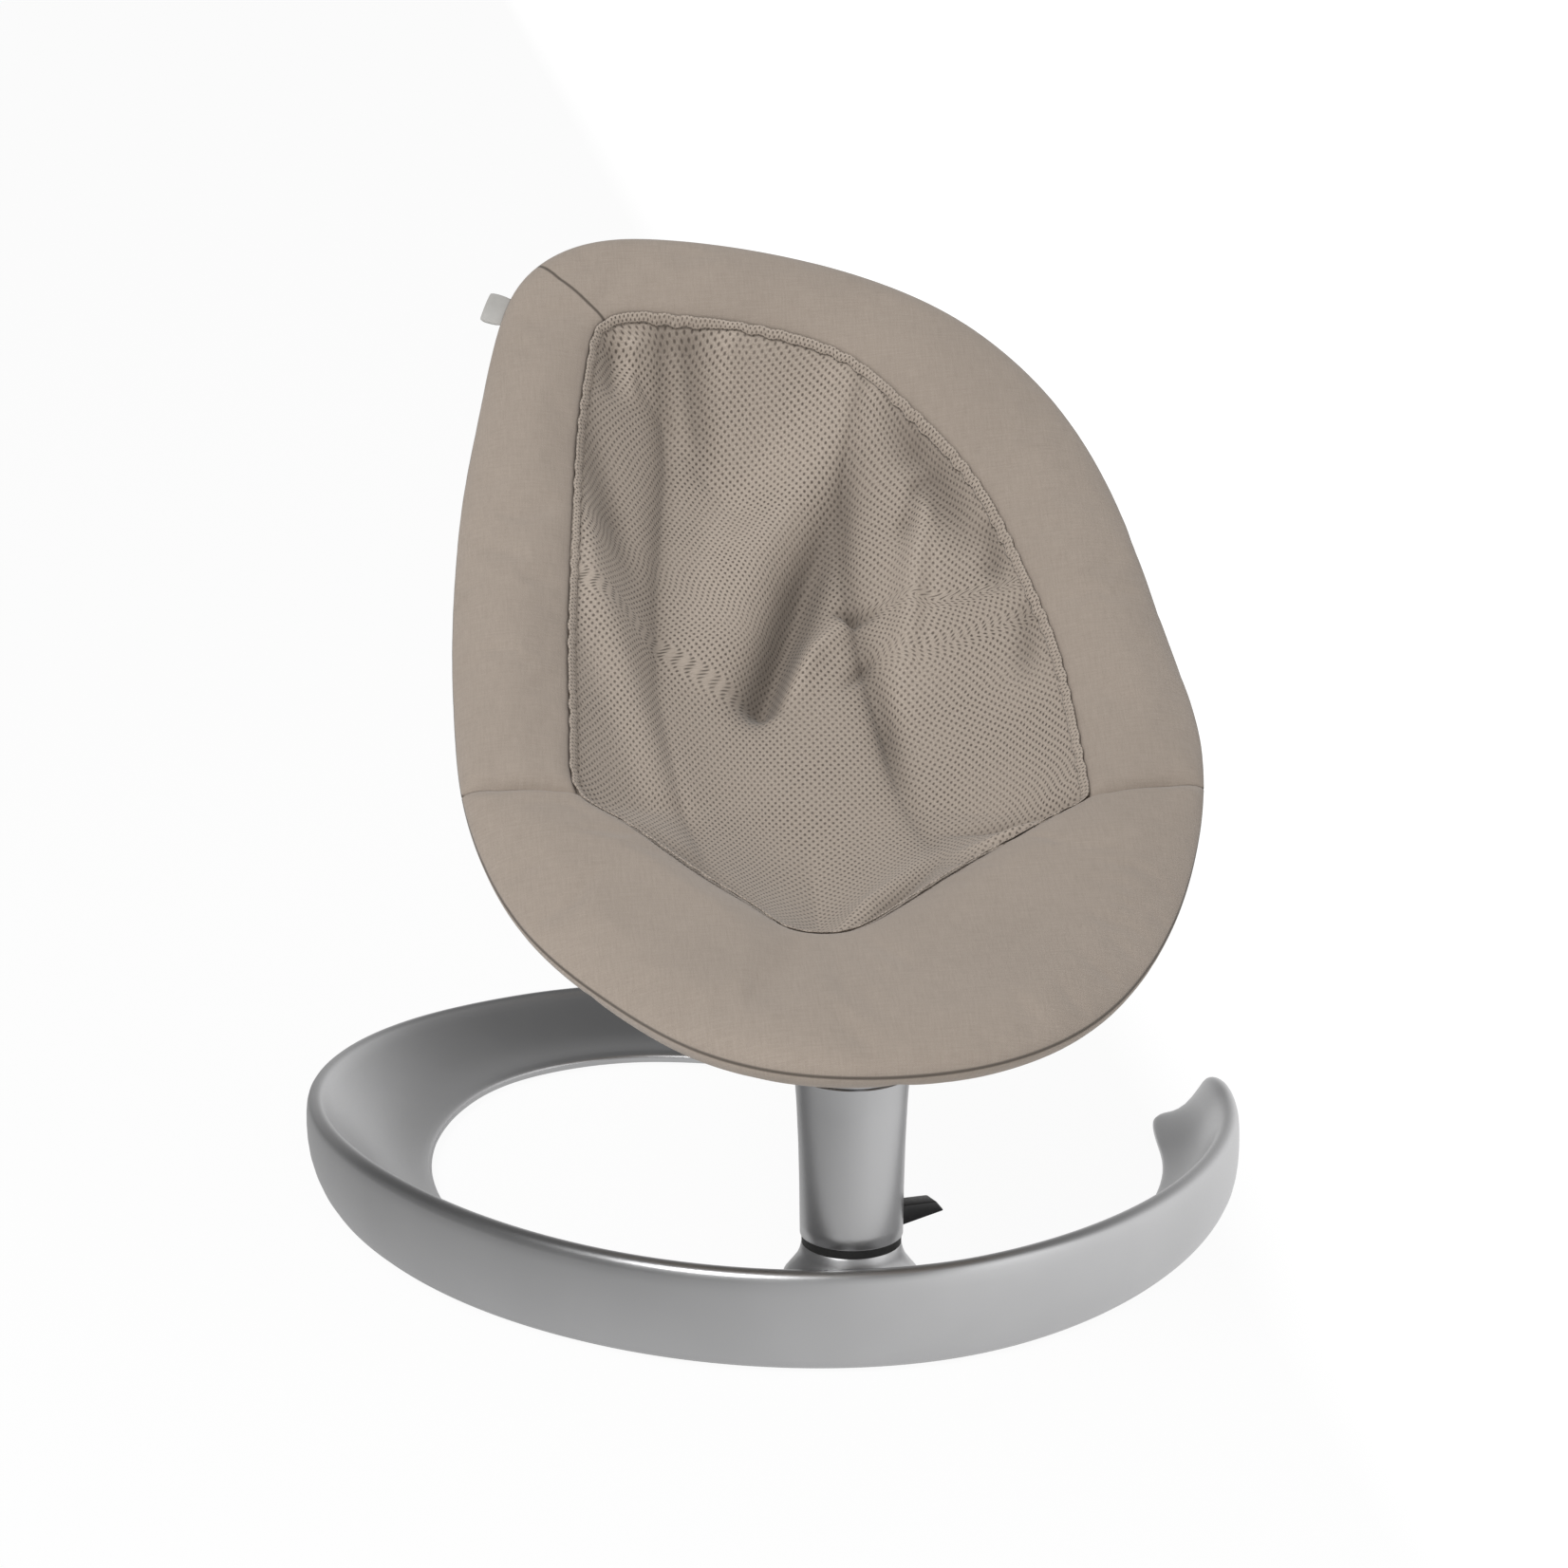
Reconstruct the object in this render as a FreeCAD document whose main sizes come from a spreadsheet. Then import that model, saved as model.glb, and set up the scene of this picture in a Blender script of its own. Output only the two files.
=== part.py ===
# Bouncer seat: a leaf-shaped baby seat that sways on a short post above an open ring base.
# Frame: millimetres, +Z up, origin on the floor on the sway axis, -Y towards the foot end.
import FreeCAD, Part
import math
import os
import re
import Sketcher

Vec = FreeCAD.Vector
Rot = FreeCAD.Rotation
UP = Vec(0, 0, 1)
ALONG_X = Rot(Vec(0, 1, 0), 90)

DIMENSIONS = [
    # ring base
    ("ring_width", 574.0), ("ring_depth", 596.0), ("rim_front", 57.0), ("rim_back", 40.0),
    ("rim_thick", 6.0), ("band_front", 54.0), ("band_back", 76.0), ("band_tip", 42.0),
    ("rim_tip", 48.0), ("lip_height", 8.0), ("floor_gap", 1.5), ("foot_height", 3.5), ("foot_radius", 9.0), ("front_foot_radius", 20.0),
    # stub and spindle
    ("stub_top", 58.0), ("stub_radius", 27.5), ("stub_flare", 38.0),
    ("seal_height", 4.7), ("spindle_radius", 10.0), ("spindle_hole", 5.0), ("spindle_low", 14.0),
    ("drum_radius", 15.0), ("drum_top", 90.0),
    # swivel column
    ("running_gap", 0.05), ("face_gap", 0.3), ("column_radius", 28.0), ("column_top_radius", 30.0),
    ("column_height", 102.0), ("bore_radius", 22.0), ("bore_depth", 90.0), ("flange_thick", 3.0),
    # bearings and their stack
    ("race_width", 12.0), ("inner_race", 13.0), ("outer_race", 18.0), ("ball_radius", 2.45),
    ("upper_bearing", 130.0), ("spacer_radius", 12.5), ("washer_thick", 1.5), ("washer_radius", 14.5),
    ("nut_height", 5.0), ("nut_radius", 9.8), ("spindle_end", 2.0),
    # sway stop
    ("stop_radius", 25.0), ("stop_pin", 1.5), ("stop_clear", 0.3), ("stop_depth", 5.0),
    ("sway_angle", 20.0),
    # sway lock
    ("lock_azimuth", 20.0), ("lever_height", 75.0), ("lever_pivot", 25.0), ("lever_reach", 49.0),
    ("lever_width", 16.0), ("lever_pin", 1.5), ("pin_length", 19.0), ("shoe_travel", 1.0),
    ("shoe_low", 66.3), ("shoe_height", 12.0), ("shoe_width", 13.0), ("lining_thick", 1.5),
    ("shoe_back", 21.6),
    # recline joint
    ("recline_y", 30.0), ("recline_z", 174.0), ("ear_radius", 15.0), ("ear_thick", 8.0),
    ("lug_half", 13.0), ("bolt_radius", 6.0), ("bolt_head", 10.0), ("head_thick", 4.0),
    ("recline_washer", 1.2), ("swing_gap", 1.5),
    # seat
    ("seat_width", 422.0), ("seat_length", 667.0), ("pad_thick", 28.0),
    ("opening_width", 286.0), ("opening_low", 140.0), ("opening_high", 606.0),
    ("hoop_radius", 8.0), ("hoop_inset", 16.0), ("sling_depth", 60.0), ("sling_reach", 115.0), ("sling_edge", 11.0),
    ("sling_thick", 3.0), ("soft_gap", 0.3), ("side_seam", 258.0), ("seat_pitch", 31.0),
    ("tag_width", 24.0), ("tag_length", 15.0), ("tag_thick", 1.5), ("tag_along", 595.0),
    # carrier under the seat
    ("strut_radius", 7.0), ("socket_radius", 11.0), ("socket_length", 36.0), ("strut_along", 300.0),
    ("plate_low", 189.5), ("plate_thick", 8.0), ("plate_width", 68.0), ("plate_front", -33.0),
    ("plate_back", 70.0), ("screw_radius", 2.5), ("screw_head", 4.5), ("screw_head_height", 3.0),
]
ALIASES = {alias for alias, value in DIMENSIONS}

# Flat outline of the leaf: share of half the seat's width, share of its length from the foot.
LEAF = [
    (0.0, 0.0), (0.29, 0.024), (0.55, 0.080), (0.80, 0.195), (0.97, 0.345), (1.0, 0.462),
    (0.955, 0.605), (0.82, 0.778), (0.52, 0.906), (0.09, 0.974), (-0.37, 1.0), (-0.68, 0.978),
    (-0.845, 0.905), (-0.925, 0.745), (-0.985, 0.540), (-0.965, 0.365), (-0.79, 0.195),
    (-0.53, 0.074), (-0.27, 0.020),
]
# Flat outline of the mesh opening: share of half its width, share of its own length.
OPENING = [
    (-0.15, 0.0), (0.10, 0.012), (0.42, 0.085), (0.80, 0.175), (0.985, 0.250), (0.99, 0.400),
    (0.88, 0.600), (0.64, 0.800), (0.28, 0.940), (-0.26, 1.0), (-0.74, 0.985), (-0.89, 0.880),
    (-0.955, 0.650), (-0.99, 0.420), (-0.985, 0.255), (-0.66, 0.140), (-0.36, 0.030),
]
# Side view of the seat's upper face: distance behind the sway axis, height.
PROFILE = [
    (-190.0, 182.5), (-144.0, 196.0), (0.0, 241.0), (94.0, 288.0), (200.0, 362.0), (283.0, 434.0),
    (404.0, 555.0), (440.0, 594.0), (522.0, 683.0),
]
FOOT = PROFILE[1]
# Plan of the ring's rim from its back end, round the front, to its right tip: shares of the
# ring's width and depth, measured from the sway axis.
RING = [
    (0.12, 0.838), (-0.157, 0.914), (-0.400, 0.817), (-0.521, 0.575), (-0.502, 0.327),
    (-0.359, 0.080), (-0.139, -0.062), (0.087, -0.076), (0.287, 0.045), (0.404, 0.210),
    (0.462, 0.380), (0.470, 0.525),
]
RING_SECTIONS = 22
END_ROUND = 0.03
END_SHRINK = 0.62
BALLS = 10
HOOP_JOINT = 9

doc = FreeCAD.newDocument("bouncer_seat")
sheet = doc.addObject("Spreadsheet::Sheet", "Sizes")
for row, (alias, value) in enumerate(DIMENSIONS, start=1):
    sheet.set("A%d" % row, alias)
    sheet.set("B%d" % row, str(value))
    sheet.setAlias("B%d" % row, alias)
doc.recompute()
parts = []


def size(alias):
    return float(sheet.get(alias))


def link(expression):
    """The expression with each sheet alias written in full."""
    return re.sub(r"[a-z_]+", lambda word: "Sizes." + word.group() if word.group() in ALIASES
                  else word.group(), expression)


def evaluate(expression):
    return float(sheet.evalExpression(link(expression)))


def keep(obj, label):
    """Register a finished sub-part under the name of its file."""
    obj.Label = label
    parts.append(obj)
    return obj


# Builders

def origin_plane(body, role):
    return [item for item in body.Origin.OriginFeatures if item.Role == role][0]


def polygon_sketch(body, name, role, corners):
    """Closed polygon on an origin plane, each corner a pair of expressions."""
    sketch = body.newObject("Sketcher::SketchObject", name)
    sketch.AttachmentSupport = [(origin_plane(body, role), "")]
    sketch.MapMode = "FlatFace"
    points = [Vec(evaluate(across), evaluate(along), 0) for across, along in corners]
    count = len(points)
    for index in range(count):
        sketch.addGeometry(Part.LineSegment(points[index], points[(index + 1) % count]))
    for index in range(count):
        sketch.addConstraint(Sketcher.Constraint("Coincident", index, 2, (index + 1) % count, 1))
    for index, corner in enumerate(corners):
        for kind, text, value in zip(("DistanceX", "DistanceY"), corner, points[index]):
            number = sketch.addConstraint(Sketcher.Constraint(kind, -1, 1, index, 1, value))
            sketch.setExpression("Constraints[%d]" % number, link(text))
    return sketch


def turned(name, corners):
    """Solid of revolution about the sway axis from a polygon of radius and height."""
    body = doc.addObject("PartDesign::Body", name + "_body")
    sketch = polygon_sketch(body, name + "_profile", "XZ_Plane", corners)
    doc.recompute()
    spin = body.newObject("PartDesign::Revolution", name + "_turned")
    spin.Profile = sketch
    spin.ReferenceAxis = (sketch, ["V_Axis"])
    spin.Angle = 360
    body.Tip = spin
    return body


def ring(name, inner, outer, low, high):
    return turned(name, [(inner, low), (outer, low), (outer, high), (inner, high)])


def side_slab(name, corners, thickness):
    """Plate cut to a side view of distance back and height, centred on the middle plane."""
    body = doc.addObject("PartDesign::Body", name + "_body")
    sketch = polygon_sketch(body, name + "_side", "YZ_Plane", corners)
    doc.recompute()
    pad = body.newObject("PartDesign::Pad", name + "_pad")
    pad.Profile = sketch
    pad.Midplane = True
    pad.setExpression("Length", link(thickness))
    body.Tip = pad
    return body


def move(obj, place, rotation=None):
    """Put an object at a place given by three expressions."""
    base = Vec(*[evaluate(text) for text in place])
    obj.Placement = FreeCAD.Placement(base, rotation or Rot())
    for axis, text in zip("xyz", place):
        obj.setExpression("Placement.Base." + axis, link(text))
    return obj


def bar(name, radius, height):
    """Cylinder that is still to be placed."""
    obj = doc.addObject("Part::Cylinder", name)
    obj.setExpression("Radius", link(radius))
    obj.setExpression("Height", link(height))
    return obj


def cylinder(name, radius, height, place=("0", "0", "0"), rotation=None):
    return move(bar(name, radius, height), place, rotation)


def block(name, length, width, height, place, rotation=None):
    obj = doc.addObject("Part::Box", name)
    obj.setExpression("Length", link(length))
    obj.setExpression("Width", link(width))
    obj.setExpression("Height", link(height))
    return move(obj, place, rotation)


def fuse(name, pieces):
    obj = doc.addObject("Part::MultiFuse", name)
    obj.Shapes = pieces
    return obj


def cut(name, base, tools):
    obj = doc.addObject("Part::Cut", name)
    obj.Base = base
    obj.Tool = tools[0] if len(tools) == 1 else fuse(name + "_tools", tools)
    return obj


def common(name, base, tool):
    obj = doc.addObject("Part::Common", name)
    obj.Base = base
    obj.Tool = tool
    return obj


def group(name, pieces):
    obj = doc.addObject("Part::Compound", name)
    obj.Links = pieces
    return obj


def feature(name, shape):
    obj = doc.addObject("Part::Feature", name)
    obj.Shape = shape
    return obj


def rod(name, radius, start, end):
    """Round bar between two points that come from the seat's shape."""
    run = end - start
    obj = doc.addObject("Part::Cylinder", name)
    obj.setExpression("Radius", link(radius))
    obj.Height = run.Length
    obj.Placement = FreeCAD.Placement(start, Rot(UP, run))
    return obj


def smooth_curve(points, closed=False):
    curve = Part.BSplineCurve()
    curve.interpolate(Points=points, PeriodicFlag=closed)
    return curve


# Ring base

def ring_section(here, inward, height, width):
    """Cross-section of the ring: upright outer wall, narrow rim, sloping inside, thin lip."""
    thick = min(size("rim_thick"), width * 0.25)
    lip = min(size("lip_height"), height * 0.5)
    low = size("floor_gap")
    shape = [
        (thick, low), (0.3 * thick, low + 0.1 * height), (0.0, low + 0.35 * height),
        (0.35 * thick, height - 0.3 * thick), (0.75 * thick, height), (1.2 * thick, height - 0.2 * thick),
        (1.6 * thick, height - thick), (0.5 * width, lip + 0.30 * (height - lip)),
        (width - thick, lip + 0.05 * height), (width, lip), (width - 0.3 * thick, low + 0.5),
        (width - thick, low),
    ]
    corners = [here + inward * across + UP * up for across, up in shape]
    return Part.makePolygon(corners + [corners[0]])


def blend(start, end, share):
    share = max(0.0, min(1.0, share))
    return start + (end - start) * share * share * (3 - 2 * share)


def ring_shares():
    """Places of the sections along the ring, closer together where its ends round off."""
    step = 1.0 / RING_SECTIONS
    middle = [END_ROUND + (1 - 2 * END_ROUND) * index * step for index in range(RING_SECTIONS + 1)]
    start = [END_ROUND * share for share in (0.0, 0.12, 0.3, 0.6)]
    return start + middle + [1 - share for share in reversed(start)]


def ring_band():
    """Open ring lofted through sections set square to its plan."""
    plan = smooth_curve([Vec(across * size("ring_width"), back * size("ring_depth"), 0) for across, back in RING])
    sections = []
    for share in ring_shares():
        parameter = plan.parameterAtDistance(plan.length() * share, plan.FirstParameter)
        tangent = plan.tangent(parameter)[0]
        inward = Vec(-tangent.y, tangent.x, 0)
        height = blend(size("rim_back"), size("rim_front"), (share - 0.1) / 0.5)
        height = blend(height, size("rim_tip"), (share - 0.75) / 0.25)
        width = blend(size("band_back"), size("band_front"), (share - 0.25) / 0.35)
        width = blend(width, size("band_tip"), (share - 0.65) / 0.25)
        ending = min(1.0, share / END_ROUND, (1 - share) / END_ROUND)
        rounding = math.sqrt(1 - (1 - ending) ** 2)
        height *= END_SHRINK + (1 - END_SHRINK) * rounding
        width *= END_SHRINK + (1 - END_SHRINK) * rounding
        sections.append(ring_section(plan.value(parameter), inward, height, width))
    return feature("ring_band", Part.makeLoft(sections, True, False)), plan


def foot_places(plan):
    """Places of the rubber feet, under the middle of the ring's band."""
    places = []
    for share in (0.12, 0.40, 0.86):
        parameter = plan.parameterAtDistance(plan.length() * share, plan.FirstParameter)
        tangent = plan.tangent(parameter)[0]
        places.append(plan.value(parameter) + Vec(-tangent.y, tangent.x, 0) * (0.5 * size("band_tip")))
    return places


def foot_disc(name, radius, here):
    disc = bar(name, radius, "foot_height")
    disc.Placement = FreeCAD.Placement(Vec(here.x, here.y, 0), Rot())
    return disc


def build_base():
    band, plan = ring_band()
    stub = turned("stub", [("0", "floor_gap"), ("stub_flare", "floor_gap"), ("stub_flare", "lip_height + 8"),
                           ("stub_radius + 2", "stub_top - 16"), ("stub_radius", "stub_top - 8"),
                           ("stub_radius", "stub_top"), ("drum_radius", "stub_top"),
                           ("drum_radius", "drum_top"), ("0", "drum_top")])
    feet = [foot_disc("foot_%d" % index, "foot_radius", here) for index, here in enumerate(foot_places(plan))]
    sockets = [foot_disc("foot_socket_%d" % index, "foot_radius", here)
               for index, here in enumerate(foot_places(plan))]
    spindle_bore = cylinder("spindle_bore", "spindle_radius", "drum_top", ("0", "0", "spindle_low"))
    front_socket = cylinder("front_socket", "front_foot_radius", "foot_height")
    stop_hole = cylinder("stop_hole", "stop_pin", "12", ("0", "-stop_radius", "stub_top - 8"))
    casting = cut("base_casting", fuse("base_rough", [band, stub]),
                  [spindle_bore, front_socket, stop_hole] + sockets)
    keep(casting, "base_ring")
    keep(cylinder("front_foot_disc", "front_foot_radius", "foot_height"), "front_foot")
    keep(group("feet", feet), "ring_feet")
    seal = ring("seal", "drum_radius", "stub_radius - 0.2", "stub_top", "stub_top + seal_height")
    seal_hole = cylinder("seal_hole", "stop_pin", "12", ("0", "-stop_radius", "stub_top - 2"))
    keep(cut("seal_cut", seal, [seal_hole]), "pivot_seal")
    keep(cylinder("stop", "stop_pin", "8 + seal_height + stop_depth - 0.7", ("0", "-stop_radius", "stub_top - 8")),
         "sway_stop_pin")


# Spindle and bearings, all on the base side except the outer races

def bearing(side, low):
    """Inner race, cage of loose balls and outer race of one ball bearing."""
    keep(ring(side + "_inner", "spindle_radius", "inner_race", low, low + " + race_width"), side + "_inner_race")
    keep(ring(side + "_outer", "outer_race", "bore_radius", low, low + " + race_width"), side + "_outer_race")
    pitch = (size("inner_race") + size("outer_race")) / 2
    balls = []
    for index in range(BALLS):
        angle = 2 * math.pi * index / BALLS
        ball = doc.addObject("Part::Sphere", "%s_ball_%d" % (side, index))
        ball.setExpression("Radius", link("ball_radius"))
        here = Vec(pitch * math.cos(angle), pitch * math.sin(angle), evaluate(low + " + race_width / 2"))
        ball.Placement = FreeCAD.Placement(here, Rot())
        balls.append(ball)
    keep(group(side + "_ball_set", balls), side + "_balls")


def build_spindle():
    stack = "upper_bearing + race_width"
    keep(ring("spindle_tube", "spindle_hole", "spindle_radius", "spindle_low",
              stack + " + washer_thick + nut_height + spindle_end"), "spindle")
    bearing("lower", "drum_top")
    bearing("upper", "upper_bearing")
    keep(ring("spacer", "spindle_radius", "spacer_radius", "drum_top + race_width", "upper_bearing"),
         "bearing_spacer")
    keep(ring("bush", "spacer_radius", "bore_radius - running_gap", "drum_top + race_width + 2", "upper_bearing - 2"),
         "return_bush")
    keep(ring("washer", "spindle_radius", "washer_radius", stack, stack + " + washer_thick"), "spindle_washer")
    nut = doc.addObject("Part::Prism", "nut_blank")
    nut.Polygon = 6
    nut.setExpression("Circumradius", link("nut_radius + spindle_radius - 4"))
    nut.setExpression("Height", link("nut_height"))
    move(nut, ("0", "0", stack + " + washer_thick"))
    nut_bore = cylinder("nut_bore", "spindle_radius", "nut_height", ("0", "0", stack + " + washer_thick"))
    keep(cut("nut", nut, [nut_bore]), "spindle_nut")


# Swivel column

def lock_frame(across=0.0, sideways=0.0, up=0.0):
    """Placement in the lock's own frame, whose X runs outwards along the lever."""
    turn = Rot(UP, size("lock_azimuth"))
    return FreeCAD.Placement(turn.multVec(Vec(across, sideways, up)), turn)


def lock_box(name, low, high):
    obj = doc.addObject("Part::Box", name)
    corner = Vec(*[evaluate(text) for text in low])
    for label, first, second in zip(("Length", "Width", "Height"), low, high):
        obj.setExpression(label, link("(%s) - (%s)" % (second, first)))
    obj.Placement = lock_frame(corner.x, corner.y, corner.z)
    return obj


def lock_pin_bar(name, radius):
    pin = bar(name, radius, "pin_length")
    place = lock_frame(size("lever_pivot"), size("pin_length") / 2, size("lever_height"))
    pin.Placement = FreeCAD.Placement(place.Base, place.Rotation.multiply(Rot(Vec(1, 0, 0), 90)))
    return pin


def stop_groove():
    """Curved pocket in the column's lower face in which the stop pin travels."""
    inner = size("stop_radius") - size("stop_pin") - size("stop_clear")
    outer = size("stop_radius") + size("stop_pin") + size("stop_clear")
    half = size("sway_angle") + math.degrees(math.asin((size("stop_pin") + size("stop_clear")) / size("stop_radius")))
    low = evaluate("stub_top + seal_height + face_gap") - 1
    face = Part.Face(Part.makePolygon([Vec(inner, 0, low), Vec(outer, 0, low),
                                       Vec(outer, 0, low + 1 + size("stop_depth")),
                                       Vec(inner, 0, low + 1 + size("stop_depth")), Vec(inner, 0, low)]))
    face.rotate(Vec(), UP, -90 - half)
    return feature("stop_groove", face.revolve(Vec(), UP, 2 * half))


def build_column():
    low = "stub_top + seal_height + face_gap"
    top = low + " + column_height"
    bore_top = low + " + bore_depth"
    sleeve = turned("sleeve", [("drum_radius + 1.4", low), ("column_radius", low),
                               ("column_radius", low + " + 0.5 * column_height"),
                               ("column_top_radius", top + " - 0.12 * column_height"),
                               ("column_top_radius", top), ("0", top), ("0", bore_top),
                               ("bore_radius", bore_top), ("bore_radius", low + " + flange_thick"),
                               ("drum_radius + 1.4", low + " + flange_thick")])
    rear = "recline_y + ear_radius"
    width = "2 * (lug_half + recline_washer + ear_thick)"
    head = side_slab("head", [("bore_radius + 2", top + " - 0.5 * column_height"), (rear, top + " - 17"),
                              (rear, "recline_z"), ("recline_y - ear_radius", "recline_z"),
                              ("recline_y - ear_radius", top + " - 8"), ("bore_radius + 2", top + " - 8")], width)
    knuckle = cylinder("knuckle", "ear_radius", width, ("-(lug_half + recline_washer + ear_thick)", "recline_y",
                                                        "recline_z"), ALONG_X)
    gap_low = "recline_z - ear_radius - swing_gap"
    gap = block("lug_gap", "2 * (lug_half + recline_washer)", "60", "60",
                ("-(lug_half + recline_washer)", "recline_y - ear_radius - swing_gap", gap_low))
    bolt_bore = cylinder("bolt_bore", "bolt_radius", "120", ("-60", "recline_y", "recline_z"), ALONG_X)
    window = lock_box("lever_window", ("bore_radius - 4", "-lever_width / 2 - 0.5", "lever_height - 9"),
                      ("column_top_radius + 2", "lever_width / 2 + 0.5", "lever_height + 8"))
    rough = fuse("column_rough", [sleeve, head, knuckle])
    keep(cut("column_cut", rough, [gap, bolt_bore, window, lock_pin_bar("lever_pin_bore", "lever_pin"),
                                   stop_groove()]), "swivel_column")


# Sway lock

def build_lock():
    keep(lock_pin_bar("lever_pin_bar", "lever_pin"), "lever_pin")
    body = doc.addObject("PartDesign::Body", "lever_body")
    side = polygon_sketch(body, "lever_side", "XZ_Plane",
                          [("-2.9", "-3.4"), ("0", "-4.6"), ("3", "-4.6"),
                           ("lever_reach - lever_pivot", "1.5"), ("lever_reach - lever_pivot", "7"),
                           ("3", "5.5"), ("-2.2", "2.5")])
    doc.recompute()
    pad = body.newObject("PartDesign::Pad", "lever_pad")
    pad.Profile = side
    pad.Midplane = True
    pad.setExpression("Length", link("lever_width"))
    body.Tip = pad
    body.Placement = lock_frame(size("lever_pivot"), 0, size("lever_height"))
    keep(cut("lever_cut", body, [lock_pin_bar("lever_bore", "lever_pin + running_gap")]), "lock_lever")

    high = "shoe_low + shoe_height"
    blank = lock_box("shoe_blank", ("drum_radius", "-shoe_width / 2", "shoe_low"), ("shoe_back", "shoe_width / 2", high))
    hollow = cylinder("shoe_hollow", "drum_radius + shoe_travel + lining_thick", "40", ("0", "0", "shoe_low - 10"))
    keep(cut("shoe", blank, [hollow]), "brake_shoe")
    sweep = ring("lining_ring", "drum_radius + shoe_travel", "drum_radius + shoe_travel + lining_thick",
                 "shoe_low", high)
    sector = lock_box("lining_sector", ("drum_radius - 4", "-shoe_width / 2", "shoe_low"),
                      ("shoe_back", "shoe_width / 2", high))
    keep(common("lining", sweep, sector), "brake_lining")


# Seat surface

side_profile = smooth_curve([Vec(0, back, up) for back, up in PROFILE])
foot_parameter = side_profile.parameter(Vec(0, *FOOT))


def seat_point(across, along, depth=0.0):
    """Point on the seat: along is measured over its upper face from the foot edge."""
    parameter = side_profile.parameterAtDistance(along, foot_parameter)
    here = side_profile.value(parameter)
    tangent = side_profile.tangent(parameter)[0]
    return Vec(across, here.y, here.z) + Vec(0, tangent.z, -tangent.y) * depth


def flat_outline(shares, half_width, low, high):
    return smooth_curve([Vec(across * half_width, low + along * (high - low), 0) for across, along in shares], True)


leaf = flat_outline(LEAF, size("seat_width") / 2, 0.0, size("seat_length"))
opening = flat_outline(OPENING, size("opening_width") / 2, size("opening_low"), size("opening_high"))


def flat_points(curve, count, inset=0.0):
    """Points spaced along a flat outline, moved inwards by the inset."""
    points = []
    for index in range(count):
        parameter = curve.parameterAtDistance(curve.length() * index / count, curve.FirstParameter)
        tangent = curve.tangent(parameter)[0]
        points.append(curve.value(parameter) + Vec(-tangent.y, tangent.x, 0) * inset)
    return points


def pitched_prism(name, flat):
    """Straight-sided block through the seat whose walls stand square to its mean pitch."""
    normal = Rot(Vec(1, 0, 0), size("seat_pitch")).multVec(UP)
    start = [point - normal * (normal.dot(point) + 100) for point in (seat_point(p.x, p.y) for p in flat)]
    wire = Part.Wire(smooth_curve(start, True).toShape())
    return feature(name, Part.Face(wire).extrude(normal * 800))


def seat_slab():
    """Pad thickness of material under the side profile, wider and longer than the seat."""
    ends = (-30.0, size("seat_length") + 25.0)
    steps = [ends[0] + (ends[1] - ends[0]) * index / 11 for index in range(12)]
    upper = smooth_curve([seat_point(0, along) for along in steps])
    lower = smooth_curve([seat_point(0, along, size("pad_thick")) for along in reversed(steps)])
    edges = [upper.toShape(), Part.makeLine(upper.value(upper.LastParameter), lower.value(lower.FirstParameter)),
             lower.toShape(), Part.makeLine(lower.value(lower.LastParameter), upper.value(upper.FirstParameter))]
    face = Part.Face(Part.Wire(edges))
    face.translate(Vec(-size("seat_width"), 0, 0))
    return feature("seat_slab", face.extrude(Vec(2 * size("seat_width"), 0, 0)))


def hoop_curve():
    """Centre line of the hoop, starting at its right-hand joint."""
    middle = size("pad_thick") / 2
    flat = flat_points(leaf, 36, size("hoop_inset"))
    flat = flat[HOOP_JOINT:] + flat[:HOOP_JOINT]
    return smooth_curve([seat_point(p.x, p.y, middle) for p in flat], True)


def hoop_halves(name, radius):
    """The hoop's upper and lower tubes, which meet end to end at both sides."""
    path = hoop_curve()
    middle = (path.FirstParameter + path.LastParameter) / 2
    halves = []
    for label, start, end in (("upper", path.FirstParameter, middle), ("lower", middle, path.LastParameter)):
        circle = Part.Wire(Part.makeCircle(radius, path.value(start), path.tangent(start)[0]))
        route = Part.Wire(path.toShape(start, end))
        halves.append(feature("%s_%s" % (name, label), route.makePipeShell([circle], True, False)))
    return halves


def inside_distance(across, along, border):
    """Distance from a flat point to the opening's edge, negative outside the opening."""
    here = Vec(across, along, 0)
    nearest = min(range(len(border)), key=lambda index: here.distanceToPoint(border[index]))
    step = border[(nearest + 1) % len(border)] - border[nearest - 1]
    inward = Vec(-step.y, step.x, 0)
    distance = here.distanceToPoint(border[nearest])
    return distance if inward.dot(here - border[nearest]) > 0 else -distance


def sling_drop(across, along, border):
    """Depth of the hanging mesh below the seat's upper face."""
    share = min(1.0, inside_distance(across, along, border) / size("sling_reach"))
    return size("sling_edge") + size("sling_depth") * (1 - (1 - share) ** 2)


def sling_surface(extra):
    half = 0.62 * size("opening_width")
    low = size("opening_low") - 30
    high = size("opening_high") + 30
    border = flat_points(opening, 240)
    grid = []
    for row_index in range(17):
        along = low + (high - low) * row_index / 16
        grid.append([seat_point(across, along, sling_drop(across, along, border) + extra)
                     for across in (half * (step / 6 - 1) for step in range(13))])
    surface = Part.BSplineSurface()
    surface.interpolate(grid)
    return surface.toShape()


def sling_sheet():
    upper = sling_surface(0.0)
    lower = sling_surface(size("sling_thick"))
    sides = [Part.makeRuledSurface(first, second) for first, second in zip(upper.Edges, lower.Edges)]
    shell = Part.makeShell([upper, lower] + sides)
    shell.sewShape()
    solid = Part.makeSolid(shell)
    if solid.Volume < 0:
        solid.reverse()
    return feature("sling_sheet", solid)


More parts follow.
